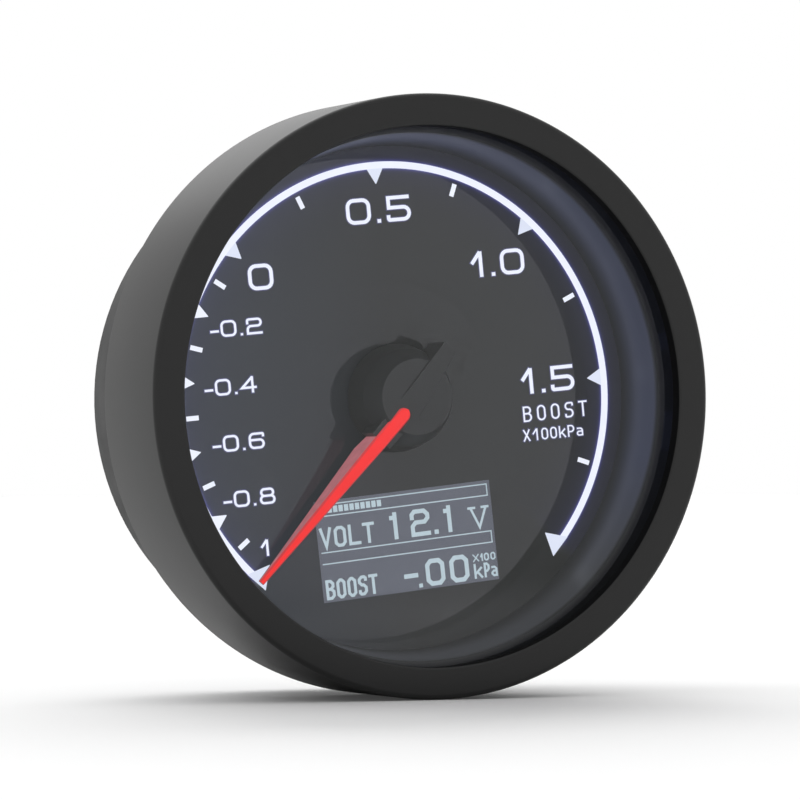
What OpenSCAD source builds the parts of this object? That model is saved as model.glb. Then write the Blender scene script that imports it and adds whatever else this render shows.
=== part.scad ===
// Round panel gauge for turbo boost: a stepper movement turns a lit pointer over a glossy dial,
// and a small text display sits behind a clear window in that dial.
// Millimetres. The dial faces -Y, twelve o'clock is +Z, and the origin is on the gauge's axis,
// in the plane of the flange's back face, which rests on the front of the mounting pod.

/* [Front ring] */
// Outside diameter of the front ring
ring_d = 69.2; // [68.6:0.1:74]
// Width of the ring's front lip, from the outside to the opening
lip_w = 3.7; // [3.4:0.1:4.1]
// Height of the ring's front face above the dial
ring_rise = 12.2; // [11.2:0.1:16]
// Thickness of the ring's front lip
ring_lip = 1.7; // [1.2:0.1:2.2]
// Thickness of the ring's side wall
ring_wall = 1.8; // [1.4:0.1:1.9]
// Radius of the ring's outer front edge
ring_corner = 1; // [0.4:0.1:1.2]

/* [Body] */
// How far the flange stands out past the body that goes into the pod
flange_step = 2.7; // [2.5:0.1:3]
// Length of the body behind the flange
body_len = 16; // [15.6:0.1:24]
// Wall thickness of the body
body_wall = 1.6; // [1.2:0.1:1.8]
// Thickness of the flange behind the dial
flange_thick = 1.5; // [1.1:0.1:1.9]
// Thickness of the rear cover
cover_thick = 1.5; // [1.3:0.1:2]

/* [Lens and dial] */
// Thickness of the lens
lens_thick = 2; // [1.2:0.1:2.4]
// Thickness of the soft gasket in front of the lens
gasket_thick = 0.4; // [0.3:0.05:0.8]
// Thickness of the dial plate
dial_thick = 1; // [0.6:0.05:1.2]
// Thickness of the light guide behind the dial
guide_thick = 1.4; // [1.3:0.05:1.8]
// Thickness of the printed scale
print_thick = 0.08; // [0.04:0.01:0.15]
// Distance of the scale's long arc from the ring's opening
arc_inset = 4.15; // [3.3:0.05:6]
// Width of the scale's long arc
arc_w = 0.8; // [0.4:0.05:1.2]
// Angle that the scale covers
scale_sweep = 270; // [180:1:270]
// Length of a long pointed mark
mark_long = 1.75; // [1:0.05:2.2]
// Length of a short pointed mark
mark_short = 1.25; // [0.8:0.05:1.6]
// Width of a pointed mark where it meets the arc
mark_w = 2; // [1:0.05:2.4]
// Length of a square-ended tick
tick_len = 1.5; // [0.8:0.05:1.8]
// Width of a square-ended tick
tick_w = 0.6; // [0.3:0.05:0.9]
// Height of the large numbers
big_digit = 2.9; // [2:0.05:3.2]
// Height of the small numbers
small_digit = 1.85; // [1.4:0.05:2.1]

/* [Display] */
// Width of the display's glass
screen_w = 26.7; // [24:0.1:27.4]
// Distance of the glass's upper edge below the pointer's axis
screen_high = 4.95; // [4.7:0.05:6]
// Gap between the glass's lower corners and the edge of the light guide
screen_edge = 3.32; // [2.4:0.02:5]
// Thickness of the display's glass
screen_thick = 1.3; // [1:0.05:1.4]

/* [Pointer] */
// How far the pointer's tip reaches past the scale's long arc
pointer_reach = 0.05; // [-0.8:0.05:0.8]
// Width of the pointer where it leaves the cap
pointer_w = 1.7; // [1.2:0.05:2]
// Width of the pointer's tip
tip_w = 0.7; // [0.4:0.05:1]
// Height of the pointer's upper edge above the dial, at the root
pointer_top = 6.5; // [6.2:0.05:6.8]
// Height of the pointer's upper edge above the dial, at the tip
tip_top = 1.8; // [1.6:0.05:2.4]
// Height of the pointer's lower edge above the dial
pointer_low = 1.4; // [1.2:0.05:1.5]
// Diameter of the cap at its foot
cap_foot_d = 12.6; // [12.2:0.1:13.4]
// Diameter of the cap's flat top
cap_top_d = 8.8; // [8:0.1:10]
// Height of the cap's top above the dial
cap_top = 6.3; // [6:0.05:6.4]
// Gap between the dial and the cap
cap_gap = 0.5; // [0.4:0.05:0.7]
// Width of the bar across the cap
bar_w = 2.8; // [2.4:0.05:3.2]
// Length of the bar's tail, from the axis
tail_len = 7; // [6.6:0.1:8]

/* [Movement] */
// Width of the movement's case
case_w = 24; // [23.6:0.1:25]
// Height of the movement's case, along the dial
case_h = 30; // [29.8:0.1:31]
// Depth of the movement's case, behind the board
case_depth = 7.8; // [7.7:0.1:8.6]
// Wall thickness of the movement's case
case_wall = 0.8; // [0.7:0.05:0.9]
// Diameter of the pointer's shaft
shaft_d = 1.5; // [1.4:0.05:1.6]
// Teeth on the wheel that carries the pointer's shaft
wheel_teeth = 120; // [120:8:136]
// Teeth on the middle wheel
middle_teeth = 96; // [88:8:96]
// Teeth on each pinion
pinion_teeth = 8; // [8:1:8]
// Pitch diameter of the shaft's wheel, as a share of the height inside the case
wheel_share = 0.634; // [0.61:0.002:0.64]
// Pitch diameter of the middle wheel, as a share of the height inside the case
middle_share = 0.44; // [0.42:0.002:0.444]
// Thickness of a wheel
wheel_thick = 0.8; // [0.6:0.05:0.9]
// Diameter of the rotor's magnet
magnet_d = 5; // [4:0.1:5.2]
// Gap between the rotor's magnet and the middle wheel
magnet_gap = 0.5; // [0.4:0.1:1]

/* [Board] */
// Thickness of the circuit board
board_thick = 1.6; // [1.2:0.1:1.6]
// Gap between the light guide and the circuit board, filled by the lamps
board_gap = 1.6; // [1.55:0.05:2]
// Thread diameter of the board's screws and the cover's screws
screw_d = 2; // [1.8:0.1:2.2]
// Length of the power socket along the cover
power_w = 12.4; // [12:0.1:13]
// Length of the sensor socket along the cover
sensor_w = 9.9; // [9.5:0.1:10.5]
// Height of both sockets
socket_h = 7.6; // [7.2:0.1:8]
// Wall thickness of a socket
socket_wall = 0.8; // [0.6:0.05:0.9]
// Depth of a socket's mouth
socket_deep = 9; // [8:0.1:9.4]
// Length of a contact inside a socket's mouth
contact_len = 3.6; // [3:0.1:3.8]

/* [Hidden] */
$fn = 96;

// Cuts run past the faces that they open by this much
over = 0.2;
// Gap between pieces that only stand beside each other
side_gap = 0.2;
// Radial gap of a shaft that turns in its hole
turn_gap = 0.05;
// Gap along the axis beside a wheel that turns
float_gap = 0.2;

// Heights are counted from the dial's front face, towards the viewer
lip_under = ring_rise - ring_lip;
lens_top = lip_under - gasket_thick;
lens_under = lens_top - lens_thick;
dial_back = -dial_thick;
guide_back = dial_back - guide_thick;
flange_back = guide_back - flange_thick;
board_front = guide_back - board_gap;
board_back = board_front - board_thick;
case_back = board_back - case_depth;
body_back = flange_back - body_len;
cover_front = body_back + cover_thick;

// Radii from the axis outwards
ring_r = ring_d / 2;
opening_r = ring_r - lip_w;
ring_in_r = ring_r - ring_wall;
flange_r = ring_in_r - side_gap / 2;
body_r = flange_r - flange_step;
body_in_r = body_r - body_wall;
dial_r = flange_r - side_gap;
rim_w = 1.5;
rim_in_r = flange_r - rim_w;
guide_r = rim_in_r - side_gap;
board_r = body_in_r - side_gap;

// The bead on the flange snaps into a groove inside the ring
bead = 0.25;
bead_w = 0.7;
// The small round at the ring's opening
opening_round = 0.3;

// The shroud's inner wall opens towards the lens
shroud_foot_in = 1.55;
shroud_neck_in = 0.5;
shroud_top_out = 0.15;
shroud_foot_r = opening_r - shroud_foot_in;
shroud_neck_r = opening_r - shroud_neck_in;
shroud_top_r = opening_r + shroud_top_out;
shroud_neck = 0.4;
shroud_wall = 1.2;
shroud_lip = 0.8;

// Holes through the dial stack for the pointer's shaft
dial_hole_r = 1.7;
guide_hole_r = 2.6;
nose_r = 2.2;
nose_gap = 0.2;

// The display stands in a window of the light guide, and reaches down to the guide's edge
screen_h = sqrt(pow(guide_r - screen_edge, 2) - pow(screen_w / 2, 2)) - screen_high;
screen_drop = screen_high + screen_h / 2;
window_gap = 0.2;
screen_gap = 0.05;
screen_top = dial_back - screen_gap;
screen_back = screen_top - screen_thick;
frame_inset_w = 0.35;
frame_inset_h = 0.65;
frame_w = screen_w - 2 * frame_inset_w;
frame_h = screen_h - 2 * frame_inset_h;
frame_wall = 0.8;
ribbon_w = 12;
ribbon_thick = 0.15;
ribbon_reach = 0.9;

// Scale: each place is an angle clockwise from twelve o'clock
arc_r = opening_r - arc_inset;
scale_start = -scale_sweep / 2;
zero_share = 1 / 3;
below_zero = 5;
above_zero = 4;
zero_at = scale_start + scale_sweep * zero_share;
fine_step = (zero_at - scale_start) / below_zero;
coarse_step = (-scale_start - zero_at) / above_zero;
fine_marks = [for (i = [1 : below_zero - 1]) scale_start + i * fine_step];
fine_ticks = [for (i = [0 : below_zero - 1]) scale_start + (i + 0.5) * fine_step];
coarse_marks = [for (i = [0 : above_zero - 1]) zero_at + i * coarse_step];
coarse_ticks = [for (i = [0 : above_zero - 1]) zero_at + (i + 0.5) * coarse_step];
end_marks = [scale_start, -scale_start];
tick_gap = 0.55;
tick_out_r = arc_r - tick_gap;

// Numbers stand upright inside this radius; the first one is moved along to clear the pointer
number_gap = 2.9;
number_out_r = arc_r - number_gap;
first_shift = 4.5;
coarse_words = ["0", "0.5", "1.0", "1.5"];
fine_words = ["1", "-0.8", "-0.6", "-0.4", "-0.2"];
digit_w_share = 0.86;
stroke_share = 0.15;
digit_gap_share = 0.22;

// Bars of a digit that are lit, in the order top, upper left, upper right, middle, lower left,
// lower right, bottom
BARS = [
    ["0", [1, 1, 1, 0, 1, 1, 1]], ["1", [0, 0, 1, 0, 0, 1, 0]], ["2", [1, 0, 1, 1, 1, 0, 1]],
    ["4", [0, 1, 1, 1, 0, 1, 0]], ["5", [1, 1, 0, 1, 0, 1, 1]], ["6", [1, 1, 0, 1, 1, 1, 1]],
    ["8", [1, 1, 1, 1, 1, 1, 1]], ["-", [0, 0, 0, 1, 0, 0, 0]]
];

// Pointer
rest_angle = scale_start;
pointer_len = arc_r + arc_w + pointer_reach;
cap_foot_r = cap_foot_d / 2;
cap_top_r = cap_top_d / 2;
saddle_out = 0.3;
saddle_rise = 0.4;
saddle_len = cap_foot_r + saddle_out;
saddle_low = pointer_low + saddle_rise;
tail_deep = 3.8;
tail_low = cap_top - tail_deep;
bar_rise = 0.12;
blade_start = 1.9;
root_rise = 1.2;
blade_root_low = pointer_low + root_rise;
backing_thick = 0.15;
tip_deep = 0.4;
bush_r = 1.3;
bush_low = -0.3;
bush_top = 3.2;

// Gear train: the shaft's wheel, the middle gear, and the rotor
pressure_angle = 28;
addendum_share = 0.8;
dedendum_share = 1.1;
backlash_share = 0.2;
shaft_r = shaft_d / 2;
module_out = wheel_share * (case_h - 2 * case_wall) / wheel_teeth;
module_in = middle_share * (case_h - 2 * case_wall) / middle_teeth;
wheel_tip_r = module_out * (wheel_teeth / 2 + addendum_share);
middle_tip_r = module_in * (middle_teeth / 2 + addendum_share);
pinion_wall = 0.035;
middle_bearing_r = module_out * (pinion_teeth / 2 - dedendum_share) - pinion_wall;
pin_r = middle_bearing_r - turn_gap;
out_centres = module_out * (wheel_teeth + pinion_teeth) / 2;
in_centres = module_in * (middle_teeth + pinion_teeth) / 2;
// The middle wheel stands beside the case's right wall
middle_gap = 1.56;
middle_angle = asin((case_w / 2 - case_wall - middle_tip_r - middle_gap) / out_centres);
rotor_angle = -65;
middle_at = out_centres * [sin(middle_angle), cos(middle_angle)];
rotor_at = middle_at + in_centres * [sin(rotor_angle), cos(rotor_angle)];

// Heights inside the movement
case_inner_top = board_back - case_wall;
case_inner_low = case_back + case_wall;
split_share = 0.484;
case_split = case_inner_top - (case_inner_top - case_inner_low) * split_share;
wheel_gap = 0.4;
wheel_step = 0.6;
wheel_top = case_inner_top - wheel_gap;
wheel_low = wheel_top - wheel_thick;
middle_top = wheel_low - wheel_step;
middle_low = middle_top - wheel_thick;
pinion_over = 0.1;
middle_pinion_top = wheel_top + pinion_over;
magnet_low = case_inner_low + magnet_gap;
magnet_top = middle_low - magnet_gap;
rotor_pinion_low = middle_low - pinion_over;
rotor_pinion_top = middle_top + pinion_over;
bearing_boss_r = 1.1;
axle_in = 0.4;
shaft_low = case_inner_low + float_gap;
shaft_top = bush_top - float_gap;
case_round = 2;
wheel_side = 0.48;
case_drop = case_wall + wheel_side + wheel_tip_r;
case_mid = case_h / 2 - case_drop;
peg_r = 1;
peg_in = 2.5;
peg_low_share = 0.25;
peg_x = case_w / 2 - peg_in;
peg_y = case_mid - case_h * peg_low_share;
peg_out = 0.4;
peg_gap = 0.05;

// Stator: a flat frame of iron with two legs that carry the coils
stator_thick = 1;
stator_mid = (magnet_low + magnet_top) / 2;
pole_gap = 0.4;
pole_r = magnet_d / 2 + pole_gap;
pole_w = 1.2;
leg_w = 1.2;
leg_low_share = 0.5;
leg_low_y = -case_drop * leg_low_share;
leg_top_y = rotor_at[1] + pole_r + pole_w + leg_w;
coil_w = 3.8;
coil_over = 0.1;
coil_thick = magnet_top - magnet_low + 2 * coil_over;
coil_len = 7;
coil_side = 0.5;
coil_end = 0.6;
leg_x = case_w / 2 - case_wall - coil_side - coil_w / 2;
coil_y = leg_low_y + leg_w + coil_end;
flange_len = 0.5;
coil_pin_r = 0.3;
coil_pin_in = 1.6;
coil_pin_rise = 0.4;
coil_pin_below = 1.5;
coil_pin_apart = 2.4;
coil_pin_x = case_w / 2 - coil_pin_in;
coil_pin_y = [rotor_at[1] - coil_pin_below - coil_pin_apart, rotor_at[1] - coil_pin_below];
coil_pin_low = stator_mid + coil_thick / 2 + coil_pin_rise;
solder_out = 0.6;

// Board
screw_r = screw_d / 2;
screw_in = 2.8;
screw_circle_r = body_in_r - screw_in;
screw_angles = [50, 120, 240, 310];
boss_wall = 2;
boss_r = screw_r + boss_wall;
head_out = 0.9;
screw_head_r = screw_r + head_out;
screw_head = 1.2;
screw_len = 4;
head_sink = 1.1;
slot_len_share = 1.3;
slot_w_share = 0.4;
lamp_count = 14;
lamp_in = 3.6;
lamp_circle_r = screw_circle_r - lamp_in;
lamp_sweep_share = 0.85;
lamp_size = [2.8, 2, 1.2];
pointer_lamp_circle_r = 3.9;
pointer_lamp_size = [1.25, 1.6, 0.8];
pointer_lamp_angles = [-80, 0, 80];

// Sockets
socket_apart = 0.8;
socket_gap = 0.8;
sockets_w = power_w + socket_apart + sensor_w;
power_x = (power_w - sockets_w) / 2;
sensor_x = (sockets_w - sensor_w) / 2;
socket_y = -(case_drop + socket_gap + socket_h / 2);
power_ways = 4;
sensor_ways = 3;
contact_pitch = 2.5;
contact_w = 0.64;
cutout_gap = 0.1;
mouth_back = body_back + socket_deep;
key_w = 3;
key_len = 4;

// Chips on the back of the board, in a column on each side of the movement's case
chip_gap = 0.6;
chip_step = 0.8;
leg_out_share = 1.2;
chip_y = -0.7;
chip_size = [8, 9, 1.2];
chip_legs = 8;
driver_size = [6, 5, 1.4];
driver_legs = 4;
driver_y = chip_y + chip_size[1] / 2 + chip_step + driver_size[1] / 2;
regulator_size = [5.5, 6, 2.3];
regulator_legs = 2;
capacitor_y = -3;
capacitor_r = 4;
capacitor_x = case_w / 2 + chip_gap + capacitor_r;
regulator_y = capacitor_y + capacitor_r + chip_step + regulator_size[1] / 2;
capacitor_len = 7;
capacitor_foot = 0.8;
capacitor_groove = 0.3;

// Helpers

// Draws children as seen from the front: x right, y up, z towards the viewer, from the dial's face
module facing() translate([0, flange_back, 0]) rotate([90, 0, 0]) children();

// A disc or a ring between two heights
module disc(r, low, top, hole = 0)
    translate([0, 0, low])
        difference() {
            cylinder(r = r, h = top - low);
            if (hole > 0)
                translate([0, 0, -over]) cylinder(r = hole, h = top - low + 2 * over);
        }

// A block between two heights, centred on x and y
module block(w, h, low, top)
    translate([-w / 2, -h / 2, low]) cube([w, h, top - low]);

// A block with four round corners
module rounded_block(w, h, low, top, round)
    translate([0, 0, low])
        linear_extrude(top - low)
            union() {
                square([w - 2 * round, h], center = true);
                square([w, h - 2 * round], center = true);
                for (x = [-1, 1], y = [-1, 1])
                    translate([x * (w / 2 - round), y * (h / 2 - round)]) circle(r = round, $fn = 48);
            }

// A place on the dial, turned so that +y points outwards at that clockwise angle
module at_angle(angle, r) rotate([0, 0, -angle]) translate([0, r, 0]) children();

// Three places round the body, for screws and their bosses
module at_screws() for (a = screw_angles) at_angle(a, screw_circle_r) children();

// A thin layer of print on the dial
module printed() linear_extrude(print_thick) children();

function involute(angle) = tan(angle) * 180 / PI - angle;

// The outline of an involute gear with a tooth centred on +x
function gear_points(teeth, size, flank_steps) =
    let (
        pitch_r = teeth * size / 2,
        base_r = pitch_r * cos(pressure_angle),
        root_r = pitch_r - dedendum_share * size,
        tip_r = pitch_r + addendum_share * size,
        flank_r = max(base_r, root_r),
        half = 90 / teeth - backlash_share * size / 2 / pitch_r * 180 / PI + involute(pressure_angle),
        flank = [for (i = [0 : flank_steps]) let (
            r = flank_r + (tip_r - flank_r) * i / flank_steps,
            angle = half - involute(acos(min(1, base_r / r)))
        ) [r, angle]],
        foot = root_r < flank_r ? [[root_r, flank[0][1]]] : [],
        side = concat(foot, flank)
    )
    [for (i = [0 : teeth - 1], s = [-1, 1], j = [0 : len(side) - 1]) let (
        p = s < 0 ? side[j] : side[len(side) - 1 - j],
        a = i * 360 / teeth + s * p[1]
    ) p[0] * [cos(a), sin(a)]];

// A gear between two heights whose tooth points at the given clockwise angle
module gear(teeth, size, low, top, angle, flank_steps)
    translate([0, 0, low])
        rotate([0, 0, 90 - angle])
            linear_extrude(top - low) polygon(gear_points(teeth, size, flank_steps));

// Front ring, lens and dial

module front_ring() color("#2b2b2b") facing() difference() {
    rotate_extrude($fn = 180) difference() {
        union() {
            translate([opening_r, flange_back])
                square([ring_r - opening_r, ring_rise - ring_corner - flange_back]);
            translate([opening_r + opening_round, flange_back])
                square([ring_r - opening_r - opening_round - ring_corner, ring_rise - flange_back]);
            translate([ring_r - ring_corner, ring_rise - ring_corner]) circle(r = ring_corner, $fn = 48);
            translate([opening_r, ring_rise - ring_corner])
                square([opening_round, ring_corner - opening_round]);
            translate([opening_r + opening_round, ring_rise - opening_round])
                circle(r = opening_round, $fn = 32);
        }
        translate([opening_r - over, flange_back - over])
            square([ring_in_r - opening_r + over, lip_under - flange_back + over]);
        translate([ring_in_r - over, flange_back + flange_thick / 2 - bead_w / 2 - turn_gap])
            square([over + bead + turn_gap, bead_w + 2 * turn_gap]);
    }
}

module lens_gasket() color("#151515") facing()
    disc(flange_r, lens_top, lip_under, opening_r + side_gap);

module lens() color("#dfe8ee", 0.3) facing() disc(dial_r, lens_under, lens_top);

module inner_shroud() color("#171a22") facing()
    rotate_extrude($fn = 180) polygon([
        [shroud_foot_r, 0],
        [shroud_foot_r + shroud_wall, 0],
        [shroud_neck_r + shroud_wall, lens_under - shroud_lip],
        [dial_r, lens_under - shroud_lip],
        [dial_r, lens_under],
        [shroud_top_r, lens_under],
        [shroud_neck_r, lens_under - shroud_neck]
    ]);

module dial_face() color("#1c1d1d") facing() disc(dial_r, dial_back, 0, dial_hole_r);

// A pointed mark: its base lies on the arc and its tip points at the axis
module pointed_mark(angle, length, overlap)
    let (half = mark_w / 2 * length / mark_long, grow = (length + overlap) / length)
        at_angle(angle, arc_r)
            polygon([[-half * grow, overlap], [half * grow, overlap], [0, -length]]);

module scale_marks() color("#eef0ff") facing() printed() {
    intersection() {
        difference() {
            circle(r = arc_r + arc_w, $fn = 240);
            circle(r = arc_r, $fn = 240);
        }
        // the fan that the scale sweeps, closed at the bottom
        polygon(concat([[0, 0]], [for (i = [0 : 12]) let (a = scale_start + i * scale_sweep / 12)
            2 * arc_r * [sin(a), cos(a)]]));
    }
    for (a = fine_marks) pointed_mark(a, mark_short, arc_w / 2);
    for (a = coarse_marks) pointed_mark(a, mark_long, arc_w / 2);
    for (a = end_marks) pointed_mark(a, mark_long, arc_w);
    for (a = concat(fine_ticks, coarse_ticks))
        at_angle(a, tick_out_r - tick_len / 2) square([tick_w, tick_len], center = true);
}

// One digit of square bars, drawn from its left edge
module digit(letter, height) {
    w = height * digit_w_share;
    s = height * stroke_share;
    half = (height + s) / 2;
    places = [
        [0, height - s, w, s], [0, half - s, s, half], [w - s, half - s, s, half],
        [0, half - s, w, s], [0, 0, s, half], [w - s, 0, s, half], [0, 0, w, s]
    ];
    lit = BARS[search([letter], BARS)[0]][1];
    if (letter == ".") square([s, s]);
    else for (i = [0 : len(places) - 1]) if (lit[i] == 1)
        translate([places[i][0], places[i][1]]) square([places[i][2], places[i][3]]);
}

function letter_w(letter, height) = height * (letter == "." ? stroke_share : digit_w_share);

function word_w(word, height, count) = count == 0 ? 0
    : word_w(word, height, count - 1) + letter_w(word[count - 1], height) + height * digit_gap_share;

// A number centred on its place, upright
module number(word, height) {
    whole = word_w(word, height, len(word)) - height * digit_gap_share;
    for (i = [0 : len(word) - 1])
        translate([word_w(word, height, i) - whole / 2, -height / 2]) digit(word[i], height);
}

// A number whose outer edge lies on the numbers' radius
module number_at(word, angle, height) {
    whole = word_w(word, height, len(word)) - height * digit_gap_share;
    r = number_out_r - (whole * abs(sin(angle)) + height * abs(cos(angle))) / 2;
    translate(r * [sin(angle), cos(angle)]) number(word, height);
}

module scale_numbers() color("#eef0ff") facing() printed() {
    for (i = [0 : above_zero - 1])
        number_at(coarse_words[i], zero_at + i * coarse_step, big_digit);
    for (i = [0 : below_zero - 1])
        number_at(fine_words[i], scale_start + i * fine_step + (i == 0 ? first_shift : 0), small_digit);
}

module light_guide() color("#dfe6ea") facing() difference() {
    disc(guide_r, guide_back, dial_back, guide_hole_r);
    translate([0, -screen_drop, 0])
        block(screen_w + 2 * window_gap, screen_h + 2 * window_gap, guide_back - over, dial_back + over);
    // room for the flat cable at the glass's upper edge
    translate([0, screen_h / 2 - screen_drop, 0])
        block(ribbon_w + 2 * window_gap, 2 * (ribbon_reach + window_gap), guide_back - over, dial_back + over);
}

module display_glass() color("#4d545e") facing()
    translate([0, -screen_drop, 0]) block(screen_w, screen_h, screen_back, screen_top);

module display_frame() color("#222222") facing() translate([0, -screen_drop, 0]) difference() {
    block(frame_w, frame_h, board_front, screen_back);
    block(frame_w - 2 * frame_wall, frame_h - 2 * frame_wall, board_front - over, screen_back + over);
}

// The flat cable leaves the glass's upper edge and turns down to the board
module display_ribbon() color("#b5762c") facing() translate([0, screen_h / 2 - screen_drop, 0]) {
    translate([-ribbon_w / 2, 0, screen_back + ribbon_thick])
        cube([ribbon_w, ribbon_reach, ribbon_thick]);
    translate([-ribbon_w / 2, ribbon_reach - ribbon_thick, board_front])
        cube([ribbon_w, ribbon_thick, screen_back + 2 * ribbon_thick - board_front]);
}

// Circuit board and what it carries

// Places of a socket's contacts along the row
function contact_places(x, ways) = [for (i = [0 : ways - 1]) x + (i - (ways - 1) / 2) * contact_pitch];

all_contacts = concat(contact_places(power_x, power_ways), contact_places(sensor_x, sensor_ways));

module main_board() color("#14532d") facing() difference() {
    disc(board_r, board_back, board_front, nose_r + nose_gap);
    at_screws() translate([0, 0, board_back - over])
        cylinder(r = screw_r + side_gap / 2, h = board_thick + 2 * over);
    for (s = [-1, 1]) translate([s * peg_x, peg_y, board_back - over])
        cylinder(r = peg_r + peg_gap, h = board_thick + 2 * over);
    for (s = [-1, 1], y = coil_pin_y) translate([s * coil_pin_x, y, board_back - over])
        cylinder(r = coil_pin_r + peg_gap, h = board_thick + 2 * over);
    for (x = all_contacts) translate([x, socket_y, 0])
        block(contact_w + peg_gap, contact_w + peg_gap, board_back - over, board_front + over);
}

module scale_lamps() color("#f4efd8") facing()
    for (i = [0 : lamp_count - 1])
        at_angle(((i + 0.5) / lamp_count - 0.5) * scale_sweep * lamp_sweep_share, lamp_circle_r)
            block(lamp_size[0], lamp_size[1], board_front, board_front + lamp_size[2]);

module pointer_lamps() color("#e8433a") facing()
    for (a = pointer_lamp_angles) at_angle(a, pointer_lamp_circle_r)
        block(pointer_lamp_size[0], pointer_lamp_size[1], board_front, board_front + pointer_lamp_size[2]);

// A chip on the back of the board, beside the case, with a row of legs along two sides
module chip(side, y, size, legs) {
    leg = size[1] / (2 * legs + 1);
    leg_out = leg * leg_out_share;
    translate([side * (case_w / 2 + chip_gap + leg_out + size[0] / 2), y, 0]) {
        block(size[0], size[1], board_back - size[2], board_back);
        for (i = [0 : legs - 1])
            translate([0, (2 * i + 1.5) * leg - size[1] / 2, 0])
                block(size[0] + 2 * leg_out, leg, board_back - size[2] / 2, board_back);
    }
}

module control_chip() color("#232323") facing() chip(-1, chip_y, chip_size, chip_legs);

module motor_driver() color("#262626") facing() chip(-1, driver_y, driver_size, driver_legs);

module voltage_regulator() color("#242424") facing()
    chip(1, regulator_y, regulator_size, regulator_legs);

module filter_capacitor() color("#8f979c") facing() translate([capacitor_x, capacitor_y, 0]) {
    foot = board_back - capacitor_foot;
    block(2 * capacitor_r, 2 * capacitor_r, foot, board_back);
    disc(capacitor_r - capacitor_groove, board_back - capacitor_len, foot);
    disc(capacitor_r, board_back - capacitor_len, foot - 2 * capacitor_groove);
}

module board_screws() color("#c9ccd0") facing() at_screws() {
    disc(screw_head_r, board_front, board_front + screw_head);
    disc(screw_r, board_back - screw_len, board_front);
}

// Body and rear cover

module body_shell() color("#242424") facing() difference() {
    union() {
        disc(flange_r, flange_back, guide_back, body_in_r);
        disc(flange_r, guide_back, dial_back, rim_in_r);
        disc(body_r, body_back, flange_back, body_in_r);
        translate([0, 0, flange_back + flange_thick / 2 - bead_w / 2])
            disc(ring_in_r + bead, 0, bead_w, body_in_r);
        // bosses for the board and the cover, joined to the wall
        intersection() {
            at_screws() {
                disc(boss_r, cover_front, board_back);
                translate([0, boss_r / 2, 0]) block(2 * boss_r, boss_r, cover_front, board_back);
            }
            disc(body_in_r + body_wall / 2, cover_front, board_back);
        }
    }
    at_screws() {
        disc(screw_r, board_back - screw_len - over, board_back + over);
        disc(screw_r, cover_front - over, cover_front + screw_len + over);
    }
}

module rear_cover() color("#202020") facing() difference() {
    disc(board_r, body_back, cover_front);
    at_screws() {
        translate([0, 0, body_back]) cylinder(r1 = screw_head_r, r2 = screw_r, h = head_sink);
        translate([0, 0, body_back - over]) cylinder(r = screw_r, h = cover_thick + 2 * over);
    }
    for (s = [[power_x, power_w], [sensor_x, sensor_w]]) translate([s[0], socket_y, 0])
        block(s[1] + 2 * cutout_gap, socket_h + 2 * cutout_gap, body_back - over, cover_front + over);
}

// Countersunk screws, each with a cross slot in its head
module cover_screws() color("#3a3a3a") facing() at_screws() difference() {
    union() {
        translate([0, 0, body_back]) cylinder(r1 = screw_head_r, r2 = screw_r, h = head_sink);
        disc(screw_r, body_back, cover_front + screw_len);
    }
    for (a = [0, 90]) rotate([0, 0, a])
        block(
            screw_head_r * slot_len_share, screw_r * slot_w_share, body_back - over, body_back + head_sink / 2
        );
}

// A socket stands on the board and reaches through the cover; its mouth opens to the back
module socket(x, width) translate([x, socket_y, 0]) difference() {
    block(width, socket_h, body_back, board_back);
    block(width - 2 * socket_wall, socket_h - 2 * socket_wall, body_back - over, mouth_back);
    translate([0, (socket_h - socket_wall) / 2, 0])
        block(key_w, socket_wall + over, body_back - over, body_back + key_len);
}

module contacts(x, ways) for (p = contact_places(x, ways)) translate([p, socket_y, 0])
    block(contact_w, contact_w, mouth_back - contact_len, board_front + solder_out);

module power_socket() color("#e9e4d2") facing() difference() {
    socket(power_x, power_w);
    contacts(power_x, power_ways);
}

module sensor_socket() color("#e9e4d2") facing() difference() {
    socket(sensor_x, sensor_w);
    contacts(sensor_x, sensor_ways);
}

module power_contacts() color("#d3a94c") facing() contacts(power_x, power_ways);

module sensor_contacts() color("#d3a94c") facing() contacts(sensor_x, sensor_ways);

// Stepper movement

module coil_pins(r, low, top)
    for (s = [-1, 1], y = coil_pin_y) translate([s * coil_pin_x, y, 0]) disc(r, low, top);

// The outer shell of the movement's case between two heights
module case_block(low, top, inset)
    translate([0, case_mid, 0])
        rounded_block(case_w - 2 * inset, case_h - 2 * inset, low, top, case_round - inset);

module movement_front() color("#e8e8e4") facing() difference() {
    union() {
        difference() {
            case_block(case_split, board_back, 0);
            case_block(case_split - over, case_inner_top, case_wall);
        }
        disc(nose_r, board_back - case_wall / 2, board_front);
        disc(nose_r, wheel_top + float_gap, board_back);
        translate([rotor_at[0], rotor_at[1], 0])
            disc(bearing_boss_r, rotor_pinion_top + float_gap, board_back - case_wall / 2);
        for (s = [-1, 1]) translate([s * peg_x, peg_y, 0])
            disc(peg_r, board_back - case_wall / 2, board_front + peg_out);
    }
    disc(shaft_r + turn_gap, wheel_top, board_front + over);
    translate([rotor_at[0], rotor_at[1], 0])
        disc(pin_r + turn_gap, rotor_pinion_top, case_inner_top + axle_in);
    translate([middle_at[0], middle_at[1], 0]) disc(pin_r, case_inner_top - over, case_inner_top + axle_in);
    coil_pins(coil_pin_r, case_inner_top - over, board_back + over);
}

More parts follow.
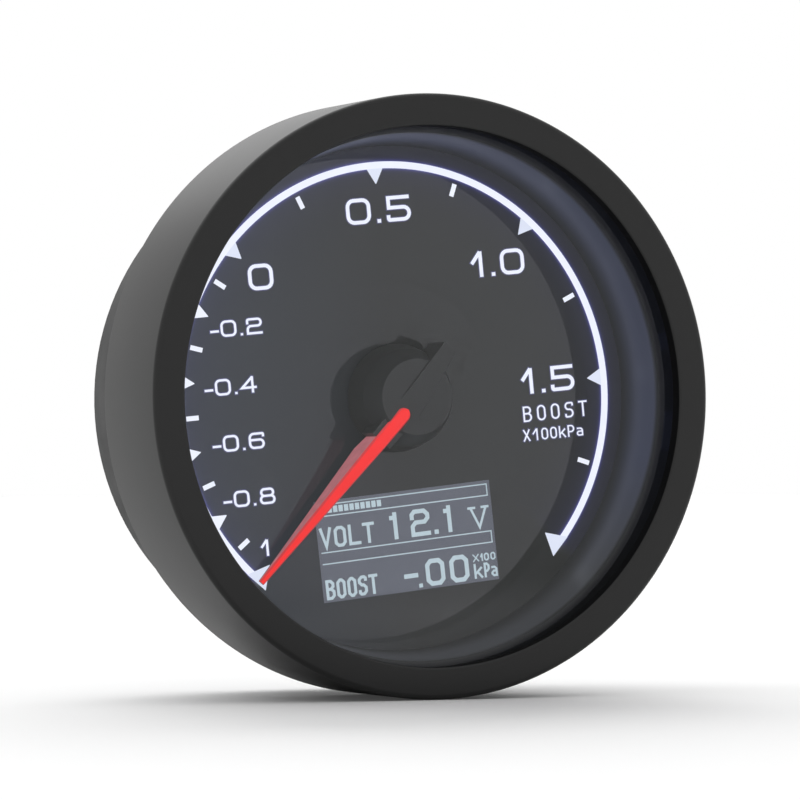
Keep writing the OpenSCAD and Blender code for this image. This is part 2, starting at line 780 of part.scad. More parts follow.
module movement_back() color("#dcdcd6") facing() difference() {
    union() {
        difference() {
            case_block(case_back, case_split, 0);
            case_block(case_inner_low, case_split + over, case_wall);
        }
        disc(bearing_boss_r + pin_r, case_back, shaft_low + 2 * case_wall);
        translate([rotor_at[0], rotor_at[1], 0]) disc(bearing_boss_r, case_back, magnet_low - float_gap);
        translate([middle_at[0], middle_at[1], 0]) disc(bearing_boss_r, case_back, middle_low - float_gap);
        // posts that carry the stator's corners
        for (s = [-1, 1], y = [leg_low_y + leg_w / 2, leg_top_y - leg_w / 2])
            translate([s * leg_x, y, 0])
                block(leg_w, leg_w, case_inner_low - case_wall / 2, stator_mid - stator_thick / 2);
    }
    disc(shaft_r + turn_gap, shaft_low - float_gap, case_split + over);
    translate([rotor_at[0], rotor_at[1], 0]) disc(pin_r + turn_gap, case_inner_low - axle_in, magnet_low);
    translate([middle_at[0], middle_at[1], 0]) disc(pin_r, case_inner_low - axle_in, middle_low);
}

module stator() color("#8a8d90") facing()
    translate([0, 0, stator_mid - stator_thick / 2]) linear_extrude(stator_thick) difference() {
        union() {
            for (s = [-1, 1])
                translate([s * leg_x - leg_w / 2, leg_low_y]) square([leg_w, leg_top_y - leg_low_y]);
            for (y = [leg_low_y, rotor_at[1] - leg_w / 2])
                translate([-leg_x, y]) square([2 * leg_x, leg_w]);
            translate(rotor_at) circle(r = pole_r + pole_w);
        }
        translate(rotor_at) circle(r = pole_r);
    }

// A coil: wire between two end plates, round one leg of the stator
module coil(x) translate([x, coil_y, stator_mid]) difference() {
    union() {
        translate([-coil_w / 2 + flange_len / 2, 0, -coil_thick / 2 + flange_len / 2])
            cube([coil_w - flange_len, coil_len, coil_thick - flange_len]);
        for (y = [0, coil_len - flange_len]) translate([-coil_w / 2, y, -coil_thick / 2])
            cube([coil_w, flange_len, coil_thick]);
    }
    translate([-leg_w / 2, -over, -stator_thick / 2]) cube([leg_w, coil_len + 2 * over, stator_thick]);
}

module left_coil() color("#b8622e") facing() coil(-leg_x);

module right_coil() color("#b8622e") facing() coil(leg_x);

module coil_contacts() color("#d9d9d9") facing()
    coil_pins(coil_pin_r, coil_pin_low, board_front + solder_out);

module middle_gear_pin() color("#c3c6c9") facing() translate([middle_at[0], middle_at[1], 0])
    disc(pin_r, case_inner_low - axle_in, case_inner_top + axle_in);

module pointer_wheel() color("#f1ecd9") facing() difference() {
    gear(wheel_teeth, module_out, wheel_low, wheel_top, middle_angle, 1);
    disc(shaft_r, wheel_low - over, wheel_top + over);
}

// The pinion's gap faces the shaft's wheel, and the wheel's gap faces the rotor
module middle_gear() color("#f1ecd9") facing() translate([middle_at[0], middle_at[1], 0]) difference() {
    union() {
        gear(middle_teeth, module_in, middle_low, middle_top, rotor_angle + 180 / middle_teeth, 1);
        gear(pinion_teeth, module_out, middle_top, middle_pinion_top,
            middle_angle + 180 + 180 / pinion_teeth, 3);
    }
    disc(middle_bearing_r, middle_low - over, middle_pinion_top + over);
}

module rotor_magnet() color("#4a4a4c") facing() translate([rotor_at[0], rotor_at[1], 0])
    disc(magnet_d / 2, magnet_low, magnet_top, pin_r);

module rotor_pinion() color("#f1ecd9") facing() translate([rotor_at[0], rotor_at[1], 0]) {
    disc(pin_r, case_inner_low - axle_in / 2, case_inner_top + axle_in / 2);
    gear(pinion_teeth, module_in, rotor_pinion_low, rotor_pinion_top, rotor_angle + 180, 3);
    disc(2 * pin_r, magnet_top, rotor_pinion_low);
}

module pointer_shaft() color("#b9bcc0") facing() disc(shaft_r, shaft_low, shaft_top);

// Pointer, drawn pointing at twelve o'clock and turned to its rest angle

module at_rest() facing() rotate([0, 0, -rest_angle]) children();

// Height of the blade's upper edge at a distance from the axis
function blade_top(y) = pointer_top + (tip_top - pointer_top) * (y - blade_start) / (pointer_len - blade_start);

// A side view given as points of distance and height, given thickness across the pointer
module side_profile(width, points)
    rotate([90, 0, 90]) translate([0, 0, -width / 2]) linear_extrude(width) polygon(points);

// Everything inside the blade's outline, between two heights: round at the root, narrow at the tip
module blade_column(low, top) translate([0, 0, low]) linear_extrude(top - low) {
    translate([0, blade_start + pointer_w / 2]) circle(r = pointer_w / 2, $fn = 48);
    polygon([
        [-pointer_w / 2, blade_start + pointer_w / 2],
        [pointer_w / 2, blade_start + pointer_w / 2],
        [pointer_w / 2, saddle_len],
        [tip_w / 2, pointer_len],
        [-tip_w / 2, pointer_len],
        [-pointer_w / 2, saddle_len]
    ]);
}

module pointer_blade() color("#ff2a2a") at_rest() intersection() {
    blade_column(0, ring_rise);
    side_profile(2 * pointer_w, [
        [blade_start - over, blade_root_low],
        [saddle_len, blade_root_low],
        [saddle_len + pointer_w, pointer_low + backing_thick],
        [pointer_len + over, tip_top - tip_deep + backing_thick],
        [pointer_len + over, blade_top(pointer_len + over)],
        [blade_start - over, blade_top(blade_start - over)]
    ]);
}

module pointer_backing() color("#101010") at_rest() intersection() {
    blade_column(0, ring_rise);
    side_profile(2 * pointer_w, [
        [saddle_len, blade_root_low - backing_thick],
        [saddle_len, blade_root_low],
        [saddle_len + pointer_w, pointer_low + backing_thick],
        [pointer_len + over, tip_top - tip_deep + backing_thick],
        [pointer_len + over, tip_top - tip_deep],
        [saddle_len + pointer_w, pointer_low]
    ]);
}

// The bar runs across the cap, from the tail to the saddle that holds the blade
module cap_bar() {
    side_profile(bar_w, [
        [-tail_len, tail_low + pointer_w / 2],
        [-tail_len, cap_top + bar_rise],
        [0, cap_top + bar_rise],
        [saddle_len, blade_top(saddle_len)],
        [saddle_len, saddle_low],
        [0, saddle_low],
        [-cap_top_r, tail_low]
    ]);
}

module pointer_cap() color("#1d1d1d") at_rest() difference() {
    union() {
        translate([0, 0, cap_gap])
            cylinder(r1 = cap_foot_r, r2 = cap_top_r, h = cap_top - cap_gap);
        intersection() {
            cap_bar();
            linear_extrude(ring_rise) union() {
                translate([-bar_w / 2, -tail_len + bar_w / 2])
                    square([bar_w, tail_len + saddle_len - bar_w / 2]);
                translate([0, -tail_len + bar_w / 2]) circle(r = bar_w / 2, $fn = 48);
            }
        }
    }
    blade_column(blade_root_low, ring_rise);
    disc(bush_r, -over, bush_top);
}

// The bush joins the cap to the shaft
module pointer_bush() color("#e6e6e2") at_rest() difference() {
    disc(bush_r, bush_low, bush_top);
    disc(shaft_r, bush_low - over, shaft_top);
}

front_ring();
lens_gasket();
lens();
inner_shroud();
dial_face();
scale_marks();
scale_numbers();
light_guide();
display_glass();
display_frame();
display_ribbon();
main_board();
scale_lamps();
pointer_lamps();
control_chip();
motor_driver();
voltage_regulator();
filter_capacitor();
board_screws();
body_shell();
rear_cover();
cover_screws();
power_socket();
sensor_socket();
power_contacts();
sensor_contacts();
movement_front();
movement_back();
stator();
left_coil();
right_coil();
coil_contacts();
middle_gear_pin();
pointer_cap();
pointer_blade();
pointer_backing();
pointer_bush();
pointer_shaft();
pointer_wheel();
middle_gear();
rotor_magnet();
rotor_pinion();
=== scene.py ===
"""The looks of a round boost gauge with a lit dial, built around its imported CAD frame.

The gauge's axis runs along Y and the dial faces -Y. Places on the dial are given as the viewer sees
them: x to the right, y up, and a height over the dial's front face, towards the viewer.
"""

from math import cos, pi, radians, sin

import bmesh
import bpy
import numpy as np
from mathutils import Matrix, Vector


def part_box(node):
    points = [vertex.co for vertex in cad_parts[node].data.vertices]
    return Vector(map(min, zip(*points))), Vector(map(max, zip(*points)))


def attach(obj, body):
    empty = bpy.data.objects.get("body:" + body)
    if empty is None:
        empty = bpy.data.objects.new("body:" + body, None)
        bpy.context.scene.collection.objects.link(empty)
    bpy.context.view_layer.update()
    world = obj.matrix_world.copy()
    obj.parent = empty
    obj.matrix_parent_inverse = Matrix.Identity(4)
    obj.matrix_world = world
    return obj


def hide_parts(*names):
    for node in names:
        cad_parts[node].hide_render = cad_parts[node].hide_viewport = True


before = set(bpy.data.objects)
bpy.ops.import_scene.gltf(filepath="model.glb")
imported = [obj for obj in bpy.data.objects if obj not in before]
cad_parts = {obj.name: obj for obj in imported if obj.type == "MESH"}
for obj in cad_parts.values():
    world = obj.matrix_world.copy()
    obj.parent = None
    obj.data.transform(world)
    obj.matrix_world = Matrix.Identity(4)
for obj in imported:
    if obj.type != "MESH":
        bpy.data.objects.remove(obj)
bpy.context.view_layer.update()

MM = 0.001


# ---- Sizes of the frame ----

# Axes of a box, and its low and high end along one. Along Y the low end is the front
X, Y = 0, 1
LOW, HIGH = 0, 1
FRONT, REAR = LOW, HIGH


def reach(node, axis, end):
    """The place of a CAD node's low or high end along an axis, in metres."""
    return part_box(node)[end][axis]


DIAL_Y = reach("dial_face", Y, FRONT)


def height_of(node, end):
    """The height over the dial's front of a node's front or rear face."""
    return DIAL_Y - reach(node, Y, end)


RING_R = reach("front_ring", X, HIGH)
RING_TOP = height_of("front_ring", FRONT)
RING_LOW = height_of("front_ring", REAR)
GASKET_R = reach("lens_gasket", X, HIGH)
LIP_UNDER = height_of("lens_gasket", FRONT)
LENS_R = reach("lens", X, HIGH)
LENS_TOP = height_of("lens", FRONT)
LENS_UNDER = height_of("lens", REAR)
DIAL_R = reach("dial_face", X, HIGH)
DIAL_BACK = height_of("dial_face", REAR)
PRINT_TOP = height_of("scale_marks", FRONT)
GLASS_TOP = height_of("display_glass", FRONT)

# Ring, gasket, inner wall and dial
RING_WALL = 1.8 * MM
LIP_W = 3.7 * MM
OPENING_R = RING_R - LIP_W
RING_IN_R = RING_R - RING_WALL
SIDE_GAP = 0.2 * MM
SHROUD_WALL = 1.2 * MM
SHROUD_FOOT_R = OPENING_R - 1.55 * MM
SHROUD_NECK_R = OPENING_R - 0.5 * MM
SHROUD_TOP_R = OPENING_R + 0.15 * MM
SHROUD_NECK = 0.4 * MM
SHROUD_LIP = 0.8 * MM
DIAL_HOLE_R = 1.7 * MM
# A hole too small to see, which keeps an outline that is turned round the axis off the axis itself
PINHOLE = 1e-6 * MM
# Steps round the axis of the rings whose edges the eye follows
FINE = 384

# Scale: half its sweep and the places of its marks are in degrees, clockwise from the top
ARC_R = OPENING_R - 4.15 * MM
ARC_W = 0.8 * MM
SCALE_HALF = 135
MARK_W = 2.0 * MM
MARK_LONG = 1.75 * MM
MARK_SHORT = 1.6 * MM
MARK_BLUNT = 0.03 * MM
MARK_SINK = 0.1 * MM
TICK_W = 0.55 * MM
TICK_OUT = ARC_R - 0.55 * MM
TICK_LEN = 1.5 * MM
LONG_MARKS = (-45, 0, 45, 90)
SHORT_MARKS = (-117, -99, -81, -63)
TICKS = (-126, -108, -90, -72, -54, -22.5, 22.5, 67.5, 112.5)

# Pointer, drawn pointing up and then turned to its rest
REST_TURN = radians(135)
BLADE_START = 1.9 * MM
BLADE_W = 1.7 * MM
TIP_W = 0.7 * MM
POINTER_LEN = ARC_R + ARC_W + 0.05 * MM
BLADE_TOP = 6.5 * MM
TIP_TOP = 1.8 * MM
TIP_DEEP = 0.4 * MM
BLADE_LOW = 1.4 * MM
ROOT_RISE = 1.2 * MM
SADDLE = 6.6 * MM
FOIL = 0.15 * MM
BLADE_BEVEL = 0.2 * MM

# The picture on the display, seen through the dial's clear window
PICTURE_TURN = radians(0.9)
WINDOW_AT = (-0.17 * MM, -16.75 * MM)
WINDOW_W = 22.5 * MM
WINDOW_H = 11.75 * MM
PICTURE_SHIFT = 0.42 * MM
PICTURE_OVER = 0.8 * MM
LAYER = 0.02 * MM
FRAME_LINE = 0.13 * MM


# ---- Meshes ----

# The least cosine of half a turn: sharper corners of a bar are not drawn out any further
SHARPEST = 0.35
# Points closer than this are one point
DOUBLE = 1e-8
# The share of a side that a rounded corner may take: just under half, so that two corners never meet
SIDE_SHARE = 0.499


def round_corners(points, radii, closed, steps=5):
    """Replaces each corner of a line by an arc: both sides are followed back by the radius over the tangent
    of half the angle, and the arc turns evenly between those two places about the centre that they share."""
    points = np.asarray(points, float)
    radii = np.broadcast_to(radii, len(points))
    out = []
    for i, (p, r) in enumerate(zip(points, radii)):
        if r <= 0 or (not closed and i in (0, len(points) - 1)):
            out.append(p[None])
            continue
        a = points[i - 1] - p
        b = points[(i + 1) % len(points)] - p
        la, lb = np.linalg.norm(a), np.linalg.norm(b)
        a, b = a / la, b / lb
        half = np.arccos(np.clip(a @ b, -1, 1)) / 2
        r = min(r, SIDE_SHARE * min(la, lb) * np.tan(half))
        centre = p + (a + b) / np.linalg.norm(a + b) * r / np.sin(half)
        start = p + a * r / np.tan(half) - centre
        end = p + b * r / np.tan(half) - centre
        turn = pi - 2 * half
        k = np.linspace(0, 1, steps + 1)[:, None]
        out.append(centre + (start * np.sin((1 - k) * turn) + end * np.sin(k * turn)) / np.sin(turn))
    return np.concatenate(out)


def grid_faces(n, m, wrap_n, wrap_m):
    """Quads between neighbours of an n by m grid of points, joined round where the grid wraps."""
    i, j = np.meshgrid(np.arange(n if wrap_n else n - 1), np.arange(m if wrap_m else m - 1), indexing="ij")
    k, l = (i + 1) % n, (j + 1) % m
    return np.stack([i * m + j, k * m + j, k * m + l, i * m + l], -1).reshape(-1, 4)


def revolved(profile, steps=256):
    """A closed outline of radius and height turned once round the gauge's axis: x and z are the radius times
    the cosine and sine of the turn, and y is the dial's front less the height."""
    turn = np.linspace(0, 2 * pi, steps, endpoint=False)[:, None]
    r, h = profile[None, :, 0], profile[None, :, 1]
    grid = np.stack(np.broadcast_arrays(r * np.cos(turn), r * np.sin(turn), h), -1)
    return [(grid.reshape(-1, 3), grid_faces(steps, profile.shape[0], True, True))]


def stroke(points, width, low, top, closed=False, cap=0.0):
    """A flat bar carried along a line: each corner is moved to both sides by half the width over the cosine
    of half its turn, and the four edges lie at the low and the top height. Open ends run on by cap."""
    points = np.asarray(points, float)
    if closed:
        before, after = np.roll(points, 1, 0), np.roll(points, -1, 0)
    else:
        before = np.vstack([points[:1] * 2 - points[1:2], points[:-1]])
        after = np.vstack([points[1:], points[-1:] * 2 - points[-2:-1]])
    d0, d1 = points - before, after - points
    d0 /= np.linalg.norm(d0, axis=1)[:, None]
    d1 /= np.linalg.norm(d1, axis=1)[:, None]
    if not closed:
        points = points.copy()
        points[0] -= d1[0] * cap
        points[-1] += d0[-1] * cap
    side = np.stack([-(d0 + d1)[:, 1], (d0 + d1)[:, 0]], 1)
    side /= np.linalg.norm(side, axis=1)[:, None]
    lean = np.maximum(side[:, 0] * -d1[:, 1] + side[:, 1] * d1[:, 0], SHARPEST)
    side *= (width / 2 / lean)[:, None]
    corner = [(points + side, low), (points + side, top), (points - side, top), (points - side, low)]
    grid = np.stack([np.column_stack([p, np.full(len(p), h)]) for p, h in corner], 1)
    n = len(points)
    faces = grid_faces(n, 4, closed, True)
    if not closed:
        faces = np.vstack([faces, [0, 1, 2, 3], [n * 4 - 1, n * 4 - 2, n * 4 - 3, n * 4 - 4]])
    return grid.reshape(-1, 3), faces


def slab(outline, low, top):
    """A four-sided outline given thickness between two heights."""
    outline = np.asarray(outline, float)
    rows = [np.column_stack([outline, np.full(4, h)]) for h in (low, top)]
    faces = np.vstack([grid_faces(2, 4, False, True), [3, 2, 1, 0], [4, 5, 6, 7]])
    return np.concatenate(rows), faces


def turned(parts, turn, centre=(0, 0)):
    """Parts turned in the dial's plane, counterclockwise, about a centre."""
    rot = np.array([[cos(turn), sin(turn)], [-sin(turn), cos(turn)]])
    return [
        (np.column_stack([(p[:, :2] - centre) @ rot + centre, p[:, 2]]), faces) for p, faces in parts
    ]


def at_angle(parts, angle, r):
    """Parts drawn about the axis with y outwards, moved out by r and turned clockwise to an angle in
    degrees."""
    return turned([(p + (0, r, 0), faces) for p, faces in parts], -radians(angle))


def at_rest(solid):
    """The parts of a bar, with its end caps' three-cornered faces, turned to the pointer's rest."""
    points, faces, caps = solid
    return turned([(points, faces), (points, caps[0]), (points, caps[1])], REST_TURN)


def shell(name, parts):
    """A mesh from dial-view parts: x stays, y becomes z, and height counts from the dial towards -Y. Doubles
    are merged and faces turned outwards."""
    verts, faces, start = [], [], 0
    for p, f in parts:
        verts.append(np.column_stack([p[:, 0], DIAL_Y - p[:, 2], p[:, 1]]))
        faces += (f + start).tolist()
        start += len(p)
    mesh = bpy.data.meshes.new(name)
    mesh.from_pydata(np.concatenate(verts), [], faces)
    form = bmesh.new()
    form.from_mesh(mesh)
    bmesh.ops.remove_doubles(form, verts=form.verts, dist=DOUBLE)
    bmesh.ops.recalc_face_normals(form, faces=form.faces)
    form.to_mesh(mesh)
    form.free()
    return mesh


def piece(name, parts, body, material, replaced=(), sharp=35):
    """A finished object made from dial-view parts."""
    return finished(name, shell(name, parts), body, material, replaced, sharp)


def carved(name, parts, joined, cut):
    """A mesh of one solid with another joined to it and a third cut out of it."""
    helpers = []
    for part in (parts, joined, cut):
        helpers.append(bpy.data.objects.new(name, shell(name, part)))
        bpy.context.scene.collection.objects.link(helpers[-1])
    for helper, operation in zip(helpers[1:], ("UNION", "DIFFERENCE")):
        step = helpers[0].modifiers.new(operation, "BOOLEAN")
        step.object = helper
        step.operation = operation
        step.solver = "EXACT"
    bpy.context.view_layer.update()
    seen = helpers[0].evaluated_get(bpy.context.evaluated_depsgraph_get())
    mesh = bpy.data.meshes.new_from_object(seen)
    for helper in helpers:
        bpy.data.objects.remove(helper)
    return mesh


def finished(name, mesh, body, material, replaced, sharp):
    """Shades a mesh smooth up to an angle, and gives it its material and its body."""
    mesh.shade_smooth()
    mesh.set_sharp_from_angle(angle=radians(sharp))
    for each in material if isinstance(material, tuple) else (material,):
        mesh.materials.append(each)
    made = bpy.data.objects.new(name, mesh)
    bpy.context.scene.collection.objects.link(made)
    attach(made, body)
    if replaced:
        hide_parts(*replaced)
    return made


# ---- Letters: each is drawn in a box one wide and one high, as lines with the radius of their corners ----

ROUND = 1
BEND_SHARE = 0.26
# I and W are the display's own figure one and letter V, which have serifs
GLYPHS = {
    "0": [(True, [(0, 0), (1, 0), (1, 1), (0, 1)], ROUND)],
    "1": [(False, [(1, 0), (1, 1)], 0), (False, [(0.1, 0.6), (0.86, 1)], 0)],
    "I": [(False, [(0.8, 0), (0.8, 1)], 0), (False, [(0, 0.86), (0.75, 0.86)], 0)],
    "W": [(False, [(0.1, 1), (0.5, 0), (0.9, 1)], 0), (False, [(0, 1), (0.3, 1)], 0),
          (False, [(0.7, 1), (1, 1)], 0)],
    "2": [(False, [(0, 0.74), (0, 1), (1, 1), (1, 0.52), (0, 0.52), (0, 0), (1, 0)],
           (0, ROUND, ROUND, ROUND, ROUND, 0, 0))],
    "4": [(False, [(0.74, 1), (0, 0.3), (1, 0.3)], 0), (False, [(0.78, 0), (0.78, 1)], 0)],
    "5": [(False, [(0.96, 1), (0.04, 1), (0.04, 0.55), (1, 0.55), (1, 0), (0, 0), (0, 0.14)],
           (0, 0, 0, ROUND, ROUND, ROUND, 0))],
    "6": [(False, [(1, 0.84), (1, 1), (0, 1), (0, 0), (1, 0), (1, 0.56), (0, 0.56)],
           (0, ROUND, ROUND, ROUND, ROUND, ROUND, 0))],
    "8": [(True, [(0, 0), (1, 0), (1, 0.52), (0, 0.52)], ROUND),
          (True, [(0.06, 0.52), (0.94, 0.52), (0.94, 1), (0.06, 1)], ROUND)],
    ".": [(False, [(0.4, 0), (0.6, 0)], 0)],
    "-": [(False, [(0, 0.36), (1, 0.36)], 0)],
    "B": [(True, [(0, 0), (1, 0), (1, 0.53), (0, 0.53)], (0, ROUND, ROUND, 0)),
          (True, [(0, 0.53), (0.94, 0.53), (0.94, 1), (0, 1)], (0, ROUND, ROUND, 0))],
    "O": [(True, [(0, 0), (1, 0), (1, 1), (0, 1)], ROUND)],
    "S": [(False, [(1, 0.84), (1, 1), (0, 1), (0, 0.53), (1, 0.53), (1, 0), (0, 0), (0, 0.16)],
           (0, ROUND, ROUND, ROUND, ROUND, ROUND, ROUND, 0))],
    "T": [(False, [(0, 1), (1, 1)], 0), (False, [(0.5, 0), (0.5, 1)], 0)],
    "L": [(False, [(0, 1), (0, 0), (1, 0)], 0)],
    "V": [(False, [(0, 1), (0.5, 0), (1, 1)], 0)],
    "x": [(False, [(0, 0), (1, 1)], 0), (False, [(0, 1), (1, 0)], 0)],
    "k": [(False, [(0, 0), (0, 1)], 0), (False, [(0.95, 0.72), (0.1, 0.3)], 0),
          (False, [(0.4, 0.42), (1, 0)], 0)],
    "P": [(False, [(0, 0), (0, 1), (1, 1), (1, 0.42), (0, 0.42)], (0, 0, ROUND, ROUND, 0))],
    "a": [(False, [(0.1, 0.66), (0.95, 0.66), (0.95, 0)], (0, ROUND, 0)),
          (True, [(0, 0), (0.95, 0), (0.95, 0.36), (0, 0.36)], (ROUND, 0, 0, ROUND))],
}
# Width of each narrow letter, as a share of the height; the others take the word's own share
NARROW = {"1": 0.52, ".": 0.17, "-": 0.56}
# Room after a letter, as a share of the height; the others take the word's own room
ROOM = {"-": 0.13, "1": 0.36}


def letter(char, left, foot, width, tall, line, low, top, spread=0.0, bend=None, steps=5):
    """One letter: its box, less the line's width, scales the letter's own lines, and each corner marked
    round gets the bend as its radius. The spread widens the line, for the glow round a letter, and one step
    a corner gives a cut corner."""
    bend = BEND_SHARE * tall if bend is None else bend
    parts = []
    for closed, points, radius in GLYPHS[char]:
        grown = np.array(points) * (width - line, tall - line) + (left + line / 2, foot + line / 2)
        path = round_corners(grown, np.array(radius) * bend, closed, steps)
        parts.append(stroke(path, line + spread, low, top, closed, 0 if closed else (line + spread) / 2))
    return parts


def word(text, centre, tall, line, share, room, low, top, spread=0.0):
    """A row of letters centred on a place: widths and the rooms between them add up along the row."""
    widths = [NARROW.get(c, share) * tall for c in text]
    rooms = [ROOM.get(c, room) * tall for c in text[:-1]] + [0]
    left = centre[0] - (sum(widths) + sum(rooms)) / 2
    parts = []
    for char, width, space in zip(text, widths, rooms):
        parts += letter(char, left, centre[1] - tall / 2, width, tall, line, low, top, spread)
        left += width + space
    return parts


# ---- Materials ----


def linear(code):
    """The linear colour of an sRGB hex value."""
    part = np.array([int(code[i : i + 2], 16) for i in (0, 2, 4)]) / 255
    part = np.where(part <= 0.04045, part / 12.92, ((part + 0.055) / 1.055) ** 2.4)
    return (*part.tolist(), 1.0)


# The two colours of a colour mix, and its result, by place: their names are shared with its other kinds
MIX_A, MIX_B, MIXED = 6, 7, 2


def add(tree, kind, sockets=None, **settings):
    """Adds a shader node of a kind: settings are its properties, and each socket gets a value, another
    node's output, or a node, which stands for its first output."""
    made = tree.nodes.new("ShaderNode" + kind)
    for key, value in settings.items():
        setattr(made, key, value)
    for key, value in (sockets or {}).items():
        if isinstance(value, bpy.types.Node):
            value = value.outputs[0]
        if isinstance(value, bpy.types.NodeSocket):
            tree.links.new(value, made.inputs[key])
        else:
            made.inputs[key].default_value = value
    return made


def new_material(name):
    """An empty material and its node tree."""
    made = bpy.data.materials.new(name)
    made.use_nodes = True
    made.node_tree.nodes.clear()
    return made, made.node_tree


def close(tree, shader):
    """Joins a shader to the material's output."""
    add(tree, "OutputMaterial", {"Surface": shader})


# Nearly all of a noise texture lies between these values
NOISE_LOW, NOISE_HIGH = 0.3, 0.7


def grained(name, colour, other, roughness, grain, depth, patch=6 * MM, swing=0.06, **sockets):
    """A solid finish whose colour drifts between two close tones over a patch, whose roughness swings with
    it, and whose surface has bumps as far apart as grain and as high as depth."""
    made, tree = new_material(name)
    place = add(tree, "TexCoord").outputs["Object"]
    drift = add(tree, "TexNoise", {"Vector": place, "Scale": 1 / patch, "Detail": 4.0})
    tone = add(tree, "Mix", {"Factor": drift, MIX_A: linear(colour), MIX_B: linear(other)},
               data_type="RGBA")
    sheen = add(tree, "MapRange",
                {"Value": drift, "From Min": NOISE_LOW, "From Max": NOISE_HIGH,
                 "To Min": roughness - swing, "To Max": roughness + swing})
    bumps = add(tree, "TexNoise", {"Vector": place, "Scale": 1 / grain, "Detail": 3.0})
    relief = add(tree, "Bump", {"Height": bumps, "Distance": depth, "Strength": 1.0})
    close(tree, add(tree, "BsdfPrincipled",
                    {"Base Color": tone.outputs[MIXED], "Roughness": sheen, "Normal": relief, **sockets}))
    return made


def lit(name, colour, strength, soft, patch=1.5 * MM):
    """Something that shines evenly, with a slight drift of strength over a patch, under a soft skin."""
    made, tree = new_material(name)
    place = add(tree, "TexCoord").outputs["Object"]
    drift = add(tree, "TexNoise", {"Vector": place, "Scale": 1 / patch, "Detail": 2.0})
    level = add(tree, "MapRange",
                {"Value": drift, "From Min": NOISE_LOW, "From Max": NOISE_HIGH,
                 "To Min": strength * (1 - soft), "To Max": strength})
    close(tree, add(tree, "BsdfPrincipled",
                    {"Base Color": linear("202024"), "Roughness": 0.4, "Specular IOR Level": 0.2,
                     "Emission Color": linear(colour), "Emission Strength": level}))
    return made


def clear(name, gloss_ior, tint):
    """A clear sheet that the eye looks straight through: light passes unbent, and where it enters, a
    mirror's share of it comes back that grows towards grazing angles."""
    made, tree = new_material(name)
    share = add(tree, "Fresnel", {"IOR": gloss_ior})
    leaving = add(tree, "NewGeometry").outputs["Backfacing"]
    share = add(tree, "MapRange", {"Value": leaving, "To Min": share, "To Max": 0.0})
    through = add(tree, "BsdfTransparent", {"Color": linear(tint)})
    gloss = add(tree, "BsdfGlossy", {"Color": linear("ffffff"), "Roughness": 0.0})
    close(tree, add(tree, "MixShader", {0: share, 1: through, 2: gloss}))
    return made


# Black ABS with a satin lacquer: an even, soft sheen with the finest orange peel
SATIN_LACQUER = grained("satin_black_lacquer_on_abs", "181818", "1b1b1b", 0.42, 0.5 * MM, 0.003 * MM,
                        20 * MM, 0.01, **{"Specular IOR Level": 0.33})
# Moulded black ABS with a fine spark-eroded grain, drawn at 0.35 mm so that it shows
MOULDED_BLACK = grained("spark_grained_black_abs", "191919", "1e1e1f", 0.5, 0.35 * MM, 0.01 * MM,
                        **{"Specular IOR Level": 0.42})
# Nitrile rubber for the gasket, also laid on the inside of the ring's opening as painted shade: dull and
# nearly black
RUBBER_AND_PAINTED_SHADE = grained("nitrile_rubber_and_painted_shade", "070707", "0b0b0b", 0.75, 0.2 * MM, 0.01 * MM,
                  **{"Specular IOR Level": 0.08})
# Black acetal cap, moulded smooth with a soft shine
SMOOTH_BLACK = grained("smooth_black_acetal", "262727", "2a2b2b", 0.4, 0.4 * MM, 0.003 * MM,
                       8 * MM, 0.02, **{"Specular IOR Level": 0.33})
# White light through the scale's milky ink, a little blue at the edges
SCALE_LIGHT = lit("milky_ink_lit_white", "f0f4ff", 1.05, 0.03)
# The long points stand further from the lamps, so they are dimmer and bluer
POINT_LIGHT = lit("milky_ink_lit_blue", "e4ebfa", 1.0, 0.06, 8 * MM)
SCALE_GLOW = lit("milky_ink_edge_glow", "4a4c78", 0.9, 0.1)
# The display's lit ground and its bright dots
PICTURE_GROUND = lit("display_lit_ground", "585c66", 1.0, 0.06)
PICTURE_DOTS = lit("display_bright_dots", "b9ccd2", 1.0, 0.05)
# Red acrylic lit from its root: bright on top, paler where the light leaves the side
POINTER_RED = lit("red_acrylic_lit_top", "fb1a16", 1.0, 0.05, 3 * MM)
POINTER_EDGE = lit("red_acrylic_lit_edge", "d02c30", 1.0, 0.08, 1 * MM)
POINTER_SIDE = lit("red_acrylic_lit_side", "b0686e", 0.95, 0.2, 1 * MM)
# Black foil under the pointer, half dull
BLACK_FOIL = grained("black_foil", "0b0b0b", "101010", 0.5, 0.2 * MM, 0.003 * MM,
                     **{"Specular IOR Level": 0.2})
# The dial's own clear back, behind its print
CLEAR_BACK = clear("clear_acrylic_back", 1.05, "ffffff")

# Socket housings in glass-filled black nylon, with a coarser, drier surface
SOCKET_BLACK = grained("glass_filled_black_nylon", "151515", "1b1b1b", 0.6, 0.25 * MM, 0.015 * MM,
                       **{"Specular IOR Level": 0.3})
# Acrylic light guide, frosted so that it looks milky
FROSTED_GUIDE = grained("frosted_acrylic", "e6eaec", "f0f3f4", 0.5, 0.3 * MM, 0.01 * MM,
                        **{"Subsurface Weight": 0.3, "Subsurface Radius": (0.002, 0.002, 0.002)})
# The display's cover: dark polished glass, with sharp reflections
DISPLAY_GLASS = grained("dark_display_glass", "23262b", "282b31", 0.08, 0.5 * MM, 0.0005 * MM,
                        6 * MM, 0.02)
# Pressed and nickel-plated frame: bright, with a plating that is a little uneven
PRESSED_STEEL = grained("pressed_nickel_plated_steel", "b9babd", "a5a6aa", 0.32, 0.25 * MM, 0.004 * MM,
                        Metallic=1.0)
# Polyimide film: amber with a satin skin
AMBER_FILM = grained("polyimide_film", "a8641b", "b87324", 0.35, 0.4 * MM, 0.004 * MM)
# White light-emitting diode under cast resin, a soft ivory
LAMP_WHITE = grained("white_lamp_resin", "f2efdc", "e8e3c6", 0.4, 0.3 * MM, 0.004 * MM)
